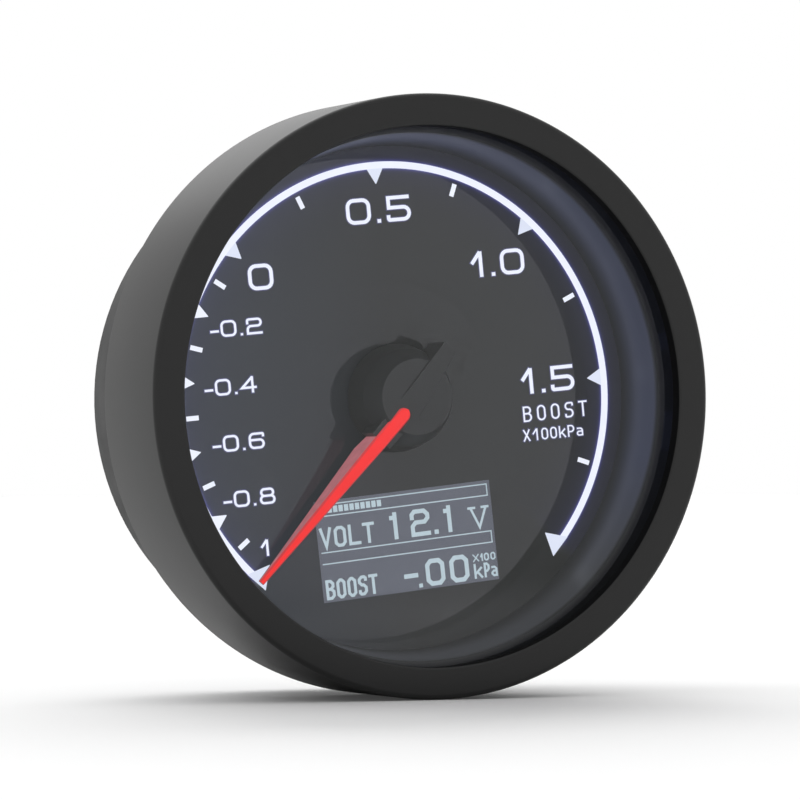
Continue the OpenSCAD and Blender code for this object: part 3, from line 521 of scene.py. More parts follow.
# Red light-emitting diode under cast resin, with a soft shine
LAMP_RED = grained("red_lamp_resin", "c2463f", "d0574d", 0.35, 0.3 * MM, 0.004 * MM)
# Chip body in moulded black epoxy, matt from the mould
CHIP_EPOXY = grained("moulded_black_epoxy", "232325", "2a2a2c", 0.65, 0.2 * MM, 0.008 * MM)
# Drawn aluminium can: a bright grey with a soft metal sheen
DRAWN_CAN = grained("drawn_aluminium", "c6c8cb", "b4b6ba", 0.3, 0.2 * MM, 0.004 * MM, Metallic=1.0)
# Nickel-plated steel: a warm, bright shine
PLATED_STEEL = grained("nickel_plated_steel", "c3c1ba", "b0aea6", 0.22, 0.3 * MM, 0.002 * MM,
                       Metallic=1.0)
# Black zinc plating: dark with a faint metal sheen
BLACK_ZINC = grained("black_zinc_plated_steel", "2b2b2d", "363638", 0.4, 0.3 * MM, 0.004 * MM,
                     Metallic=0.8)
# Tin-plated brass contacts: a pale metal with a soft shine
TINNED_BRASS = grained("tin_plated_brass", "cfcabd", "bdb49c", 0.3, 0.3 * MM, 0.003 * MM, Metallic=1.0)
# Ivory nylon case halves with a fine moulded grain
IVORY_NYLON = grained("moulded_ivory_nylon", "e4dcc3", "eae3cc", 0.5, 0.3 * MM, 0.008 * MM)
# Annealed iron with a thin grey scale
SOFT_IRON = grained("annealed_iron", "6e6d6b", "7d7b78", 0.5, 0.3 * MM, 0.008 * MM, Metallic=0.9)
# White acetal gears and bush, slightly waxy
WHITE_ACETAL = grained("white_acetal", "ecebe6", "f3f2ee", 0.38, 0.3 * MM, 0.003 * MM)


# Copper wire: the gap between two drawn turns. A wave texture of scale one has 20 / (2 pi) waves a metre
WIRE_GAP = 0.3 * MM
WAVES = 20 / (2 * pi)


def winding_finish():
    """Enamelled copper wire in close turns: bands across the coil's length, drawn 0.3 mm apart so that they
    show, painted darker in the grooves as their shade, and with a lacquer's gloss."""
    made, tree = new_material("enamelled_copper_wire")
    place = add(tree, "TexCoord").outputs["Object"]
    turns_and_groove_shade = add(tree, "TexWave",
                {"Vector": place, "Scale": 1 / WIRE_GAP / WAVES, "Distortion": 0.4},
                bands_direction="Z").outputs["Fac"]
    # The dark tone in the grooves between the turns is painted shade
    tone = add(tree, "Mix", {"Factor": turns_and_groove_shade, MIX_A: linear("6b2c14"), MIX_B: linear("c46a3a")},
               data_type="RGBA")
    relief = add(tree, "Bump", {"Height": turns_and_groove_shade, "Distance": 0.08 * MM})
    close(tree, add(tree, "BsdfPrincipled",
                    {"Base Color": tone.outputs[MIXED], "Metallic": 0.7, "Roughness": 0.3,
                     "Normal": relief}))
    return made


# The unit of the board's track pattern; its widths and heights are shares of it
TRACK_UNIT = 4 * MM


def board_finish():
    """Solder mask over copper tracks: green glass board, divided every 0.8 mm by straight lines that stand
    out a little paler, in bricks so that no line runs on for long."""
    made, tree = new_material("green_solder_mask")
    place = add(tree, "TexCoord").outputs["Object"]
    turn = add(tree, "Mapping", {"Vector": place, "Rotation": (pi / 2, 0, 0)})
    tracks = add(tree, "TexBrick",
                 {"Vector": turn, "Scale": 1 / TRACK_UNIT, "Mortar Size": 0.06, "Brick Width": 2.2,
                  "Row Height": 0.2, "Color1": linear("14502b"), "Color2": linear("1a5a31"),
                  "Mortar": linear("2a7846")})
    relief = add(tree, "Bump", {"Height": tracks.outputs["Fac"], "Distance": 0.03 * MM})
    close(tree, add(tree, "BsdfPrincipled",
                    {"Base Color": tracks.outputs["Color"], "Roughness": 0.35, "Normal": relief}))
    return made


COPPER_WINDING = winding_finish()
SOLDER_MASK = board_finish()

# The veil on the lens, a painted reflection of the white room: how wide its soft border of painted lip shade
# is, what stays of it there, how far off centre it lies, and the index of the mirror whose share it takes
VEIL_FADE = 0.8 * MM
VEIL_REST = 0.1
VEIL_SHIFT = 1.3 * MM
VEIL_INDEX = 1.415


def lens_finish():
    """Clear polycarbonate. What its polished front mirrors of the white room is painted on as an even veil
    of emission, a painted reflection whose strength is the mirror's share and grows towards grazing angles.
    The ring's lip keeps it off the border as painted shade, a little further in on the right, where a viewer
    at the left front looks at the lip's mirror image."""
    made, tree = new_material("clear_polycarbonate")
    place = add(tree, "TexCoord").outputs["Object"]
    flat = add(tree, "VectorMath", {0: place, 1: (1.0, 0.0, 1.0), 2: (VEIL_SHIFT, 0.0, 0.0)},
               operation="MULTIPLY_ADD")
    radius = add(tree, "VectorMath", {0: flat}, operation="LENGTH").outputs["Value"]
    open_to = add(tree, "MapRange",
                  {"Value": radius, "From Min": OPENING_R - VEIL_FADE, "From Max": OPENING_R,
                   "To Min": 1.0, "To Max": VEIL_REST})
    leaving = add(tree, "NewGeometry").outputs["Backfacing"]
    entering = add(tree, "MapRange", {"Value": leaving, "To Min": open_to, "To Max": 0.0})
    share = add(tree, "Fresnel", {"IOR": VEIL_INDEX})
    veil = add(tree, "Math", {0: share, 1: entering}, operation="MULTIPLY")
    through = add(tree, "BsdfTransparent", {"Color": linear("fbfbfd")})
    shine = add(tree, "Emission", {"Color": linear("fcfffd"), "Strength": veil})
    close(tree, add(tree, "AddShader", {0: through, 1: shine}))
    return made


# Spill on the inner wall, over the dial: it is full at one height and ends between two others, where it
# drops from its strength to a rest. Low on the gauge it is nearly white, and further up it is blue
WALL_FULL = DIAL_Y - 4.6 * MM
WALL_END = (DIAL_Y - 6.7 * MM, DIAL_Y - 7.6 * MM)
WALL_SPILL, WALL_REST = 0.052, 0.004
WALL_WHITE, WALL_BLUE = -0.7 * DIAL_R, -0.3 * DIAL_R


def shroud_finish():
    """Smooth black ABS that the scale's light spills on: the spill grows with the height over the dial,
    smoothly, ends under the lens, and is bluer round the scale's sweep than at its open foot."""
    made, tree = new_material("smooth_black_abs_with_spill")
    place = add(tree, "TexCoord").outputs["Object"]
    spot = add(tree, "SeparateXYZ", {0: place}).outputs
    rise = add(tree, "MapRange",
               {"Value": spot["Y"], "From Min": DIAL_Y, "From Max": WALL_FULL, "To Min": 0.1, "To Max": 1.0},
               interpolation_type="SMOOTHSTEP")
    neck = add(tree, "MapRange",
               {"Value": spot["Y"], "From Min": WALL_END[0], "From Max": WALL_END[1],
                "To Min": WALL_SPILL, "To Max": WALL_REST}, interpolation_type="SMOOTHSTEP")
    foot = add(tree, "MapRange", {"Value": spot["Z"], "From Min": WALL_WHITE, "From Max": WALL_BLUE})
    tint = add(tree, "Mix", {"Factor": foot, MIX_A: linear("b4bac8"), MIX_B: linear("a4b6fa")},
               data_type="RGBA")
    drift = add(tree, "TexNoise", {"Vector": place, "Scale": 1 / (8 * MM), "Detail": 2.0})
    sheen = add(tree, "MapRange", {"Value": drift, "To Min": 0.33, "To Max": 0.36})
    glow = add(tree, "Math", {0: rise, 1: neck}, operation="MULTIPLY")
    close(tree, add(tree, "BsdfPrincipled",
                    {"Base Color": linear("0d0e10"), "Roughness": sheen, "Specular IOR Level": 0.2,
                     "Emission Color": tint.outputs[MIXED], "Emission Strength": glow}))
    return made


# Spill on the dial: strength and reach of its narrow and its wide part, and the blend at the scale's two
# ends, which lie as far below the axis as to its side
NEAR_SPILL, NEAR_REACH = 0.3, 0.14 * MM
FAR_SPILL, FAR_REACH = 0.024, 2.2 * MM
END_BLEND = 1.5 * MM
# Light painted on the dial's foot, and a haze of painted bluish light that grows towards its left: from
# where to where, and how strong
FOOT_FROM, FOOT_TO, FOOT_SPILL = -22 * MM, -26 * MM, 0.014
HAZE_TO, HAZE_SPILL = -22 * MM, 0.02
DIAL_ROUGH = 0.01


def dial_finish():
    """Gloss black screen print on a clear plate, with the light of the scale spilling into it, and a clear
    window in front of the display: a place is in the window when, turned back, it is within half its width
    and half its height of the window's middle. The spill fades with the distance from the long arc."""
    made, tree = new_material("gloss_black_print_on_acrylic")
    place = add(tree, "TexCoord").outputs["Object"]

    # The window
    turn = add(tree, "Mapping",
               {"Vector": place, "Location": (WINDOW_AT[0], 0, WINDOW_AT[1]),
                "Rotation": (0, -PICTURE_TURN, 0)}, vector_type="TEXTURE")
    away = add(tree, "VectorMath", {0: turn}, operation="ABSOLUTE")
    away = add(tree, "SeparateXYZ", {0: away}).outputs
    in_width = add(tree, "Math", {0: away["X"], 1: WINDOW_W / 2}, operation="LESS_THAN")
    in_height = add(tree, "Math", {0: away["Z"], 1: WINDOW_H / 2}, operation="LESS_THAN")
    window = add(tree, "Math", {0: in_width, 1: in_height}, operation="MULTIPLY")

    # Distance from the arc's edges, and the two parts of the spill, which fade exponentially with it
    flat = add(tree, "VectorMath", {0: place, 1: (1.0, 0.0, 1.0)}, operation="MULTIPLY")
    radius = add(tree, "VectorMath", {0: flat}, operation="LENGTH").outputs["Value"]
    off = add(tree, "Math", {0: radius, 1: ARC_R + ARC_W / 2}, operation="SUBTRACT")
    off = add(tree, "Math", {0: off}, operation="ABSOLUTE")
    off = add(tree, "Math", {0: off, 1: ARC_W / 2}, operation="SUBTRACT")
    off = add(tree, "Math", {0: off, 1: 0.0}, operation="MAXIMUM")
    near = add(tree, "Math", {0: off, 1: -1 / NEAR_REACH}, operation="MULTIPLY")
    near = add(tree, "Math", {0: near}, operation="EXPONENT")
    far = add(tree, "Math", {0: off, 1: -1 / FAR_REACH}, operation="MULTIPLY")
    far = add(tree, "Math", {0: far}, operation="EXPONENT")
    far = add(tree, "Math", {0: far, 1: FAR_SPILL}, operation="MULTIPLY")
    spill = add(tree, "Math", {0: near, 1: NEAR_SPILL, 2: far}, operation="MULTIPLY_ADD")

    # Only along the scale: there the height and the distance to the side add up to more than nothing
    spot = add(tree, "SeparateXYZ", {0: place}).outputs
    aside = add(tree, "Math", {0: spot["X"]}, operation="ABSOLUTE")
    upper = add(tree, "Math", {0: spot["Z"], 1: aside}, operation="ADD")
    upper = add(tree, "MapRange", {"Value": upper, "From Min": -END_BLEND, "From Max": END_BLEND},
                interpolation_type="SMOOTHSTEP")
    foot = add(tree, "MapRange",
               {"Value": spot["Z"], "From Min": FOOT_FROM, "From Max": FOOT_TO, "To Max": FOOT_SPILL},
               interpolation_type="SMOOTHSTEP")
    spill = add(tree, "Math", {0: spill, 1: upper, 2: foot}, operation="MULTIPLY_ADD")
    tint = add(tree, "Mix", {"Factor": upper, MIX_A: linear("f0f0f4"), MIX_B: linear("8080ff")},
               data_type="RGBA")

    # The print's own black, and the haze of painted bluish light
    fleck = add(tree, "TexNoise", {"Vector": place, "Scale": 1 / (9 * MM), "Detail": 3.0})
    tone = add(tree, "Mix", {"Factor": fleck, MIX_A: linear("2c2e2e"), MIX_B: linear("303231")},
               data_type="RGBA")
    ink = add(tree, "BsdfPrincipled",
              {"Base Color": tone.outputs[MIXED], "Roughness": DIAL_ROUGH, "Specular IOR Level": 0.36,
               "Emission Color": tint.outputs[MIXED], "Emission Strength": spill})
    left = add(tree, "MapRange",
               {"Value": spot["X"], "From Min": 0.0, "From Max": HAZE_TO, "To Max": HAZE_SPILL})
    painted_haze = add(tree, "Emission", {"Color": linear("a6c6ff"), "Strength": left})
    ink = add(tree, "AddShader", {0: ink, 1: painted_haze})

    # The clear pane
    share = add(tree, "Fresnel", {"IOR": 1.32})
    through = add(tree, "BsdfTransparent", {"Color": linear("ffffff")})
    gloss = add(tree, "BsdfGlossy", {"Color": linear("ffffff"), "Roughness": DIAL_ROUGH})
    pane = add(tree, "MixShader", {0: share, 1: through, 2: gloss})
    close(tree, add(tree, "MixShader", {0: window, 1: ink, 2: pane}))
    return made


DIAL_PRINT = dial_finish()
SHROUD_BLACK = shroud_finish()
CLEAR_LENS = lens_finish()


# ---- Ring, gasket, lens, inner wall and dial ----

# Each is an outline of radius and height, whose corners have their own radii, turned round the axis
ring = piece("ring_shell", revolved(round_corners(
    [(OPENING_R, LIP_UNDER), (OPENING_R, RING_TOP), (RING_R, RING_TOP), (RING_R, RING_LOW),
     (RING_IN_R, RING_LOW), (RING_IN_R, LIP_UNDER)],
    np.array([0.1, 0.3, 0.65, 0.25, 0.1, 0.1]) * MM, closed=True, steps=8), FINE),
    "gauge", (SATIN_LACQUER, RUBBER_AND_PAINTED_SHADE), ["front_ring"])
# The inside of the ring's opening, from just under its rounded edge, gets the dull rubber black as painted
# shade
SHADE_INSET = 0.2 * MM
middle = np.array([face.center for face in ring.data.polygons])
painted_shade_faces = np.hypot(middle[:, 0], middle[:, 2]) < OPENING_R + SHADE_INSET
painted_shade_faces &= middle[:, 1] > DIAL_Y - RING_TOP + SHADE_INSET
ring.data.polygons.foreach_set("material_index", painted_shade_faces.astype(np.int32))

piece("gasket_band", revolved(round_corners(
    [(OPENING_R + SIDE_GAP, LENS_TOP), (OPENING_R + SIDE_GAP, LIP_UNDER), (GASKET_R, LIP_UNDER),
     (GASKET_R, LENS_TOP)], 0.08 * MM, closed=True, steps=3)),
    "gauge", RUBBER_AND_PAINTED_SHADE, ["lens_gasket"])

piece("lens_disc", revolved(round_corners(
    [(PINHOLE, LENS_TOP), (LENS_R, LENS_TOP), (LENS_R, LENS_UNDER), (PINHOLE, LENS_UNDER)],
    np.array([0, 0.2, 0.2, 0]) * MM, closed=True, steps=3)),
    "gauge", CLEAR_LENS, ["lens"])

SHROUD_LIP_LOW = LENS_UNDER - SHROUD_LIP
piece("shroud_cone", revolved(round_corners(
    [(SHROUD_FOOT_R, 0), (SHROUD_FOOT_R + SHROUD_WALL, 0), (SHROUD_NECK_R + SHROUD_WALL, SHROUD_LIP_LOW),
     (DIAL_R, SHROUD_LIP_LOW), (DIAL_R, LENS_UNDER), (SHROUD_TOP_R, LENS_UNDER),
     (SHROUD_NECK_R, LENS_UNDER - SHROUD_NECK)],
    np.array([0.1, 0.1, 0.1, 0.1, 0.1, 0.06, 0.06]) * MM, closed=True, steps=4), FINE),
    "gauge", SHROUD_BLACK, ["inner_shroud"])

plate = piece("dial_plate", revolved(round_corners(
    [(DIAL_HOLE_R, 0), (DIAL_R, 0), (DIAL_R, DIAL_BACK), (DIAL_HOLE_R, DIAL_BACK)],
    0.06 * MM, closed=True, steps=3), FINE),
    "gauge", (DIAL_PRINT, CLEAR_BACK), ["dial_face"])
# Faces that look away from the viewer, by more than a hair, are the plate's clear back
AWAY = 0.1
facing = np.array([face.normal.y for face in plate.data.polygons])
plate.data.polygons.foreach_set("material_index", (facing > AWAY).astype(np.int32))


# ---- Printed scale ----


def arc_band(r, width, low, top):
    """A band along a circle, from one end of the scale to the other."""
    angle = np.radians(np.linspace(-SCALE_HALF, SCALE_HALF, 241))
    return stroke(r * np.column_stack([np.sin(angle), np.cos(angle)]), width, low, top)


def pointed(width, length, base, top):
    """A mark with its base on the arc and its point towards the axis, blunted by a hair."""
    outline = [(-width / 2, base), (width / 2, base), (MARK_BLUNT, -length), (-MARK_BLUNT, -length)]
    return [slab(outline, 0, top)]


# The arc lies a little over the marks and a little under the points at its ends, so that no two faces meet
MARK_TOP = PRINT_TOP * 0.9
END_TOP = PRINT_TOP * 1.1
marks = [arc_band(ARC_R + ARC_W / 2, ARC_W, 0, PRINT_TOP)]
for angle in SHORT_MARKS:
    short = pointed(MARK_W * MARK_SHORT / MARK_LONG, MARK_SHORT, MARK_SINK, MARK_TOP)
    marks += at_angle(short, angle, ARC_R)
points = []
for angle in LONG_MARKS:
    points += at_angle(pointed(MARK_W, MARK_LONG, 0.0, MARK_TOP), angle, ARC_R)
for angle in (-SCALE_HALF, SCALE_HALF):
    wide = MARK_W * (MARK_LONG + ARC_W) / MARK_LONG
    points += at_angle(pointed(wide, MARK_LONG, ARC_W, END_TOP), angle, ARC_R)
for angle in TICKS:
    tick = stroke([(0, 0), (0, -TICK_LEN)], TICK_W, 0, MARK_TOP)
    marks += at_angle([tick], angle, TICK_OUT)
piece("scale_print", marks, "gauge", SCALE_LIGHT, ["scale_marks"])
piece("scale_points", points, "gauge", POINT_LIGHT)

# What is printed: words, the place of their middle and their height, in millimetres, then the width of a
# letter and the room after it as shares of the height, and the width of the line
BIG, SMALL = 3.0, 1.88
WIDE, APART, LINE = 1.03, 0.25, 0.142
PRINTED = [
    (text, place, tall, WIDE, APART, LINE * tall) for text, place, tall in (
        ("0.5", (0.0, 21.95), BIG), ("0", (-15.5, 15.4), BIG), ("1.0", (14.6, 14.6), BIG),
        ("1.5", (19.75, 0.35), BIG), ("-0.2", (-19.1, 9.85), SMALL), ("-0.4", (-20.45, 3.2), SMALL),
        ("-0.6", (-20.1, -3.28), SMALL), ("-0.8", (-19.4, -9.73), SMALL), ("1", (-18.1, -15.65), SMALL))
] + [
    ("BOOST", (20.4, -3.5), 1.83, 0.6, 0.4, 0.19),
    ("x100kPa", (19.9, -6.0), 1.38, 0.62, 0.22, 0.16),
]
GLOW = 0.22 * MM
GLOW_TOP = PRINT_TOP / 4
numbers, glow = [], []
for text, (x, y), tall, share, room, line in PRINTED:
    place = (x * MM, y * MM)
    numbers += word(text, place, tall * MM, line * MM, share, room, 0, PRINT_TOP)
    glow += word(text, place, tall * MM, line * MM, share, room, 0, GLOW_TOP, GLOW)
piece("number_print", numbers, "gauge", SCALE_LIGHT, ["scale_numbers"])
piece("number_glow", glow, "gauge", SCALE_GLOW)


# ---- Picture on the display ----


def pictured(parts):
    """Parts drawn as seen in the dial's plane, moved to where the glass behind it shows them, and turned."""
    moved = turned(parts, PICTURE_TURN, WINDOW_AT)
    return [(p + (PICTURE_SHIFT, 0, 0), faces) for p, faces in moved]


GROUND_TOP = GLASS_TOP + LAYER
DOTS_TOP = GROUND_TOP + LAYER
ground_half = WINDOW_W / 2 + PICTURE_OVER
ground = [stroke([(WINDOW_AT[0] - ground_half, WINDOW_AT[1]), (WINDOW_AT[0] + ground_half, WINDOW_AT[1])],
                 WINDOW_H + 2 * PICTURE_OVER, GLASS_TOP, GROUND_TOP)]
piece("picture_ground", pictured(ground), "gauge", PICTURE_GROUND)

# The picture's two rows, its two frames and its bar of segments, in millimetres
ROW_ONE, ROW_TWO = -16.45, -22.42
FRAME_LEFT, FRAME_RIGHT = -11.08, 10.72
FRAMES = ((-12.70, -11.37), (-18.25, -16.92))
SEGMENTS, SEGMENT_FROM, SEGMENT_STEP, SEGMENT_W = 11, -10.18, 0.697, 0.53
SEGMENT_LOW, SEGMENT_HIGH = -12.37, -11.62
# A letter's cut corners, as a share of its line's width
CUT = 0.85
# Letter, left edge, foot, width, height and line width, in millimetres
SHOWN = (
    [(c, -11.1 + 1.817 * i, ROW_ONE, 1.52, 2.42, 0.37) for i, c in enumerate("VOLT")]
    + [("I", -2.12, ROW_ONE, 1.05, 3.17, 0.5), ("2", 0.5, ROW_ONE, 2.5, 3.17, 0.5),
       (".", 3.45, ROW_ONE, 0.58, 3.17, 0.52), ("I", 4.83, ROW_ONE, 1.05, 3.17, 0.5),
       ("W", 7.97, ROW_ONE, 2.75, 2.6, 0.28)]
    + [(c, -11.0 + 1.365 * i, ROW_TWO, 1.15, 2.33, 0.35) for i, c in enumerate("BOOST")]
    + [("-", -1.0, ROW_TWO + 0.28, 1.8, 3.17, 0.52), (".", 0.76, ROW_TWO, 0.55, 3.17, 0.45),
       ("0", 1.8, ROW_TWO, 2.45, 3.17, 0.52), ("0", 4.92, ROW_TWO, 2.45, 3.17, 0.52)]
    + [("x", 8.0, ROW_TWO + 2.1, 0.8, 0.9, 0.14), ("1", 8.95, ROW_TWO + 2.1, 0.35, 0.9, 0.17),
       ("0", 9.45, ROW_TWO + 2.1, 0.65, 0.9, 0.17), ("0", 10.3, ROW_TWO + 2.1, 0.65, 0.9, 0.17)]
    + [("k", 8.0, ROW_TWO + 0.12, 1.1, 1.75, 0.27), ("P", 9.3, ROW_TWO + 0.12, 0.75, 1.75, 0.27),
       ("a", 10.2, ROW_TWO + 0.12, 0.85, 1.75, 0.25)]
)
dots = []
for char, left, foot, width, tall, line in SHOWN:
    dots += letter(char, left * MM, foot * MM, width * MM, tall * MM, line * MM, GROUND_TOP, DOTS_TOP,
                   bend=CUT * line * MM, steps=1)
for low, high in FRAMES:
    sides = [(FRAME_LEFT, low), (FRAME_RIGHT, low), (FRAME_RIGHT, high), (FRAME_LEFT, high)]
    dots.append(stroke(np.array(sides) * MM, FRAME_LINE, GROUND_TOP, DOTS_TOP))
for i in range(SEGMENTS):
    x = SEGMENT_FROM + SEGMENT_STEP * i
    segment = np.array([(x, SEGMENT_LOW), (x, SEGMENT_HIGH)]) * MM
    dots.append(stroke(segment, SEGMENT_W * MM, GROUND_TOP, DOTS_TOP))
piece("picture_dots", pictured(dots), "gauge", PICTURE_DOTS)


# ---- Pointer ----


def bar(stations, left, right, low, top, bevel):
    """A bar along the pointer: at each distance from the axis stands a section with two small top bevels,
    between the plan's left and right edges there and between a lower and an upper height."""
    y = np.asarray(stations)
    bevel = np.minimum(bevel, (right - left) / 4)
    section = [(left, low), (left, top - bevel), (left + bevel, top), (right - bevel, top),
               (right, top - bevel), (right, low)]
    grid = np.stack([np.column_stack([x, y, h]) for x, h in section], 1)
    n, m = grid.shape[:2]
    points = np.vstack([grid.reshape(-1, 3), grid[[0, -1]].mean(1)])
    loop = np.arange(m)
    after = (loop + 1) % m
    start = np.column_stack([loop, after, loop * 0 + n * m])
    end = np.column_stack([after + (n - 1) * m, loop + (n - 1) * m, loop * 0 + n * m + 1])
    return points, grid_faces(n, m, False, True), [start, end]


def half_width(y):
    """Half the pointer's width at a distance: a half circle at the root, then even, then narrowing to the
    tip."""
    root = BLADE_W / 2
    bow = np.sqrt(np.maximum(root**2 - np.maximum(BLADE_START + root - y, 0) ** 2, 0))
    lean = root + (TIP_W / 2 - root) * (y - SADDLE) / (POINTER_LEN - SADDLE)
    return np.where(y > SADDLE, lean, bow)


def blade_top(y):
    """The blade's upper edge falls evenly from the root to the tip."""
    return BLADE_TOP + (TIP_TOP - BLADE_TOP) * (y - BLADE_START) / (POINTER_LEN - BLADE_START)


def blade_low(y):
    """The blade's lower edge drops behind the saddle and then runs level."""
    return np.interp(y, [SADDLE, SADDLE + BLADE_W, POINTER_LEN],
                     [BLADE_LOW + ROOT_RISE, BLADE_LOW + FOIL, TIP_TOP - TIP_DEEP + FOIL])


# Distances from the axis at which the blade's sections stand: close together round the root, which starts
# at an angle just off the half circle's own end
ROOT = BLADE_START + BLADE_W / 2 * (1 - np.cos(np.linspace(0.12, pi / 2, 14)))
ALONG = np.concatenate([ROOT, np.linspace(ROOT[-1], SADDLE, 5)[1:], [SADDLE + BLADE_W],
                        np.linspace(SADDLE + BLADE_W, POINTER_LEN, 14)[1:]])
HALF = half_width(ALONG)
# Edges of the pointer stay sharp over this angle in degrees
CRISP = 20
solid = bar(ALONG, -HALF, HALF, blade_low(ALONG), blade_top(ALONG), BLADE_BEVEL)
needle = piece("pointer_needle", at_rest(solid), "pointer", (POINTER_RED, POINTER_EDGE, POINTER_SIDE),
               ["pointer_blade"], CRISP)
# The way that a face looks picks its finish: up to the first the top, up to the second the bevels
TOP_FACING, BEVEL_FACING = -0.9, -0.5
facing = np.array([face.normal.y for face in needle.data.polygons])
shade = np.digitize(facing, [TOP_FACING, BEVEL_FACING])
needle.data.polygons.foreach_set("material_index", shade.astype(np.int32))

# The foil covers the blade's underside from the saddle on; the hair keeps the saddle's own section in
HAIR = 1e-9
UNDER = ALONG[ALONG >= SADDLE - HAIR]
foil = bar(UNDER, -half_width(UNDER), half_width(UNDER), blade_low(UNDER) - FOIL, blade_low(UNDER), 0.0)
piece("pointer_foil", at_rest(foil), "pointer", BLACK_FOIL, ["pointer_backing"], CRISP)


# Cap: a cone with a shoulder, a bar and a tail across it, and the slit that the blade stands in
CAP_FOOT_R = 6.3 * MM
CAP_TOP_R = 4.4 * MM
CAP_TOP = 6.3 * MM
CAP_GAP = 0.5 * MM
CAP_HOLE_R = 1.6 * MM
BAR_RISE = 0.25 * MM
TAIL = 7.2 * MM
TAIL_LOW = 2.1 * MM
TAIL_ROUND = 0.3 * MM
BAR_SINK = 0.12 * MM
SHOULDER_R = 5.65 * MM
SHOULDER = 3.6 * MM
CAP_THICK = 2 * MM
CAP_STEPS = 160
BAR_RIGHT = 1.45 * MM
BAR_BEVEL = 0.04 * MM
BAR_LOW = 2.4 * MM
SLIT_PLAY = 0.01 * MM
CAP_CRISP = 30
# The bar's left edge: distances from the axis, and how far to the side it lies there. Then the distances at
# which the bar's sections stand, between its tail's round end and the saddle
LEFT_AT = np.array([-7.2, -5.3, -3.7, 1.65, 6.6]) * MM
LEFT_OUT = np.array([-0.25, -0.64, -0.85, -1.6, -1.4]) * MM
BAR_STATIONS = np.array([-5.3, -3.7, -1.0, 0.0, 1.65]) * MM

cone = revolved(round_corners(
    [(CAP_HOLE_R, CAP_GAP), (CAP_FOOT_R, CAP_GAP), (SHOULDER_R, SHOULDER), (CAP_TOP_R, CAP_TOP),
     (PINHOLE, CAP_TOP), (PINHOLE, CAP_TOP - CAP_THICK), (CAP_HOLE_R, CAP_TOP - CAP_THICK)],
    np.array([0, 0.08, 1.6, 0.12, 0, 0, 0]) * MM, closed=True, steps=6), CAP_STEPS)
corner = TAIL_ROUND * (1 - np.cos(np.linspace(0.2, pi / 2, 6)))
down = np.concatenate([corner - TAIL, BAR_STATIONS, [SADDLE]])
# The tail's end is rounded in plan: near it, both edges draw in along a circle
into = 1 - np.minimum((down + TAIL) / TAIL_ROUND, 1)
inset = TAIL_ROUND * (1 - np.sqrt(np.maximum(1 - into**2, 0)))
left = np.interp(down, LEFT_AT, LEFT_OUT) + inset
right = BAR_RIGHT - inset
ends = [-TAIL, 0.0, SADDLE]
rise = np.interp(down, ends, [CAP_TOP + BAR_RISE, CAP_TOP + BAR_RISE, blade_top(SADDLE) - BAR_SINK])
sole = np.interp(down, ends, [TAIL_LOW, BAR_LOW, BLADE_LOW + ROOT_RISE - FOIL])
slit = bar(ALONG, -HALF - SLIT_PLAY, HALF + SLIT_PLAY, blade_low(ALONG), blade_top(ALONG) + CAP_GAP, 0.0)
boss = carved("pointer_boss", cone, at_rest(bar(down, left, right, sole, rise, BAR_BEVEL)), at_rest(slit))
finished("pointer_boss", boss, "pointer", SMOOTH_BLACK, ["pointer_cap"], CAP_CRISP)


# ---- Finishes of the frame's own nodes ----

FINISHES = [
    (MOULDED_BLACK, ["body_shell", "rear_cover"]),
    (SOCKET_BLACK, ["power_socket", "sensor_socket"]),
    (FROSTED_GUIDE, ["light_guide"]),
    (DISPLAY_GLASS, ["display_glass"]),
    (PRESSED_STEEL, ["display_frame"]),
    (AMBER_FILM, ["display_ribbon"]),
    (SOLDER_MASK, ["main_board"]),
    (LAMP_WHITE, ["scale_lamps"]),
    (LAMP_RED, ["pointer_lamps"]),
    (CHIP_EPOXY, ["control_chip", "motor_driver", "voltage_regulator"]),
    (DRAWN_CAN, ["filter_capacitor"]),
    (PLATED_STEEL, ["board_screws", "pointer_shaft", "middle_gear_pin"]),
    (BLACK_ZINC, ["cover_screws"]),
    (TINNED_BRASS, ["power_contacts", "sensor_contacts", "coil_contacts"]),
    (IVORY_NYLON, ["movement_front", "movement_back"]),
    (SOFT_IRON, ["stator", "rotor_magnet"]),
    (COPPER_WINDING, ["left_coil", "right_coil"]),
    (WHITE_ACETAL, ["pointer_bush", "pointer_wheel", "middle_gear", "rotor_pinion"]),
]
for material, nodes in FINISHES:
    for name in nodes:
        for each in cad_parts[name].material_slots:
            each.material = material


# ---- Floor, surroundings, lamps and camera ----

# The floor leans a little to the side: the camera is level with it, and the gauge is turned on its axis
FLOOR_UP = np.array([0.09974, 0.0, 0.99501])
FLOOR_RIGHT = np.array([FLOOR_UP[2], 0.0, -FLOOR_UP[0]])
FLOOR_BACK = np.array([0.0, 1.0, 0.0])
FLOOR_HALF = 4.0
FLOOR_GAP = 0.02 * MM
FLOOR_LIFT = 0.04

side = np.array([-FLOOR_HALF, FLOOR_HALF])
u, v = np.meshgrid(side, side, indexing="ij")
corners = u.reshape(-1, 1) * FLOOR_RIGHT + v.reshape(-1, 1) * FLOOR_BACK - FLOOR_UP * (RING_R + FLOOR_GAP)
sheet = bpy.data.meshes.new("floor")
sheet.from_pydata(corners, [], [[0, 2, 3, 1]])
floor = bpy.data.objects.new("floor", sheet)
bpy.context.scene.collection.objects.link(floor)

# White paper: matt, and for the camera alone a little brighter than it is lit, so that it ends in white
paper, tree = new_material("white_paper")
seen = add(tree, "LightPath").outputs["Is Camera Ray"]
lift = add(tree, "Math", {0: seen, 1: FLOOR_LIFT}, operation="MULTIPLY")
close(tree, add(tree, "BsdfPrincipled",
                {"Base Color": linear("f6f6f6"), "Roughness": 0.9, "Specular IOR Level": 0.0,
                 "Emission Color": linear("ffffff"), "Emission Strength": lift}))
sheet.materials.append(paper)

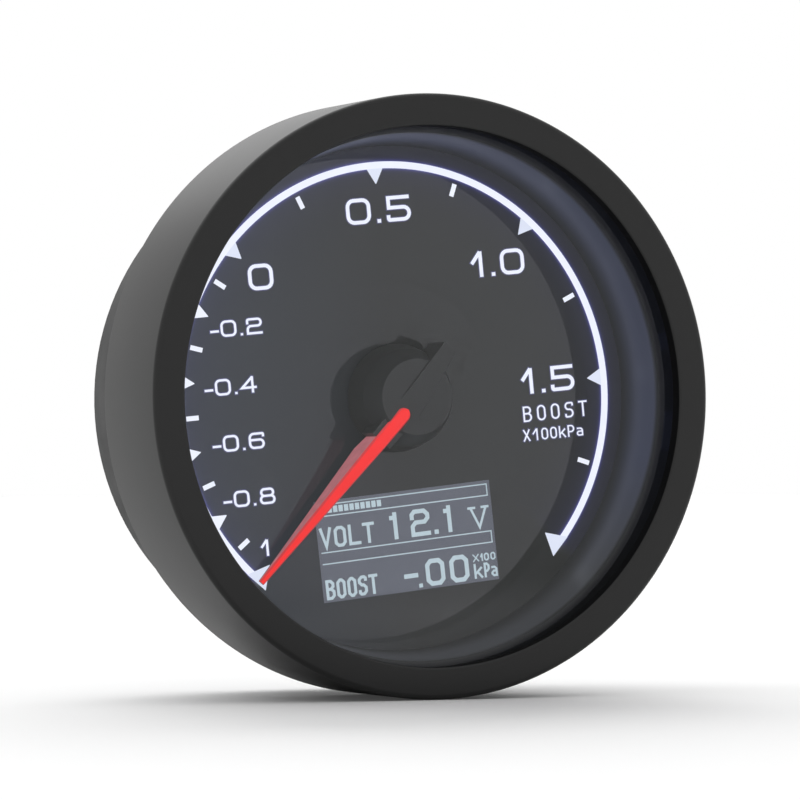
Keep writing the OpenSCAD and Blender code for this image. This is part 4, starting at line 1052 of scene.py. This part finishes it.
# The room looks white wherever it is seen or mirrored, and lights the gauge with a part of that
ROOM_LIGHT = 0.32
world = bpy.data.worlds.new("studio")
bpy.context.scene.world = world
world.use_nodes = True
tree = world.node_tree
tree.nodes.clear()
rays = add(tree, "LightPath").outputs
seen = add(tree, "Math", {0: rays["Is Camera Ray"], 1: rays["Is Glossy Ray"]}, operation="MAXIMUM")
seen = add(tree, "Math", {0: seen, 1: rays["Is Transmission Ray"]}, operation="MAXIMUM")
level = add(tree, "MapRange", {"Value": seen, "To Min": ROOM_LIGHT, "To Max": 1.0})
shine = add(tree, "Background", {"Color": linear("ffffff"), "Strength": level})
add(tree, "OutputWorld", {"Surface": shine})


def soft_sun(name, towards, strength, spread, shine=True, fill=True):
    """A broad, even light that comes from a direction and is spread over an angle in degrees. Without shine
    it makes no highlights, and without fill it makes nothing else."""
    light = bpy.data.lights.new(name, "SUN")
    light.energy = strength
    light.angle = radians(spread)
    made = bpy.data.objects.new(name, light)
    made.matrix_world = Vector(towards).to_track_quat("Z", "Y").to_matrix().to_4x4()
    made.visible_glossy = shine
    made.visible_diffuse = fill
    bpy.context.scene.collection.objects.link(made)


soft_sun("overhead_softbox", (-0.2, 0.45, 1.0), 0.8, 60)
soft_sun("ceiling_bounce", (0.1, 0.3, 1.0), 0.7, 125, shine=False)
soft_sun("back_softbox", (0.48, 0.95, 0.56), 2.2, 50, shine=False)
soft_sun("edge_strip", (0.25, 0.85, 0.6), 0.3, 40, fill=False)

# The camera's place in metres, its two directions, and its focal length in mm, fitted to the scale's marks
CAMERA_AT = Vector((-0.21066, -0.48144, 0.01236))
CAMERA_RIGHT = Vector((0.90983, -0.40484, -0.09120))
CAMERA_UP = Vector((0.09321, -0.01480, 0.99554))
FOCAL_LENGTH = 201.76
lens = bpy.data.cameras.new("photo_camera")
lens.lens = FOCAL_LENGTH
camera = bpy.data.objects.new("photo_camera", lens)
turn = Matrix((CAMERA_RIGHT, CAMERA_UP, CAMERA_RIGHT.cross(CAMERA_UP))).transposed().to_4x4()
camera.matrix_world = Matrix.Translation(CAMERA_AT) @ turn
bpy.context.scene.collection.objects.link(camera)
bpy.context.scene.camera = camera
bpy.context.scene.view_settings.view_transform = "Standard"
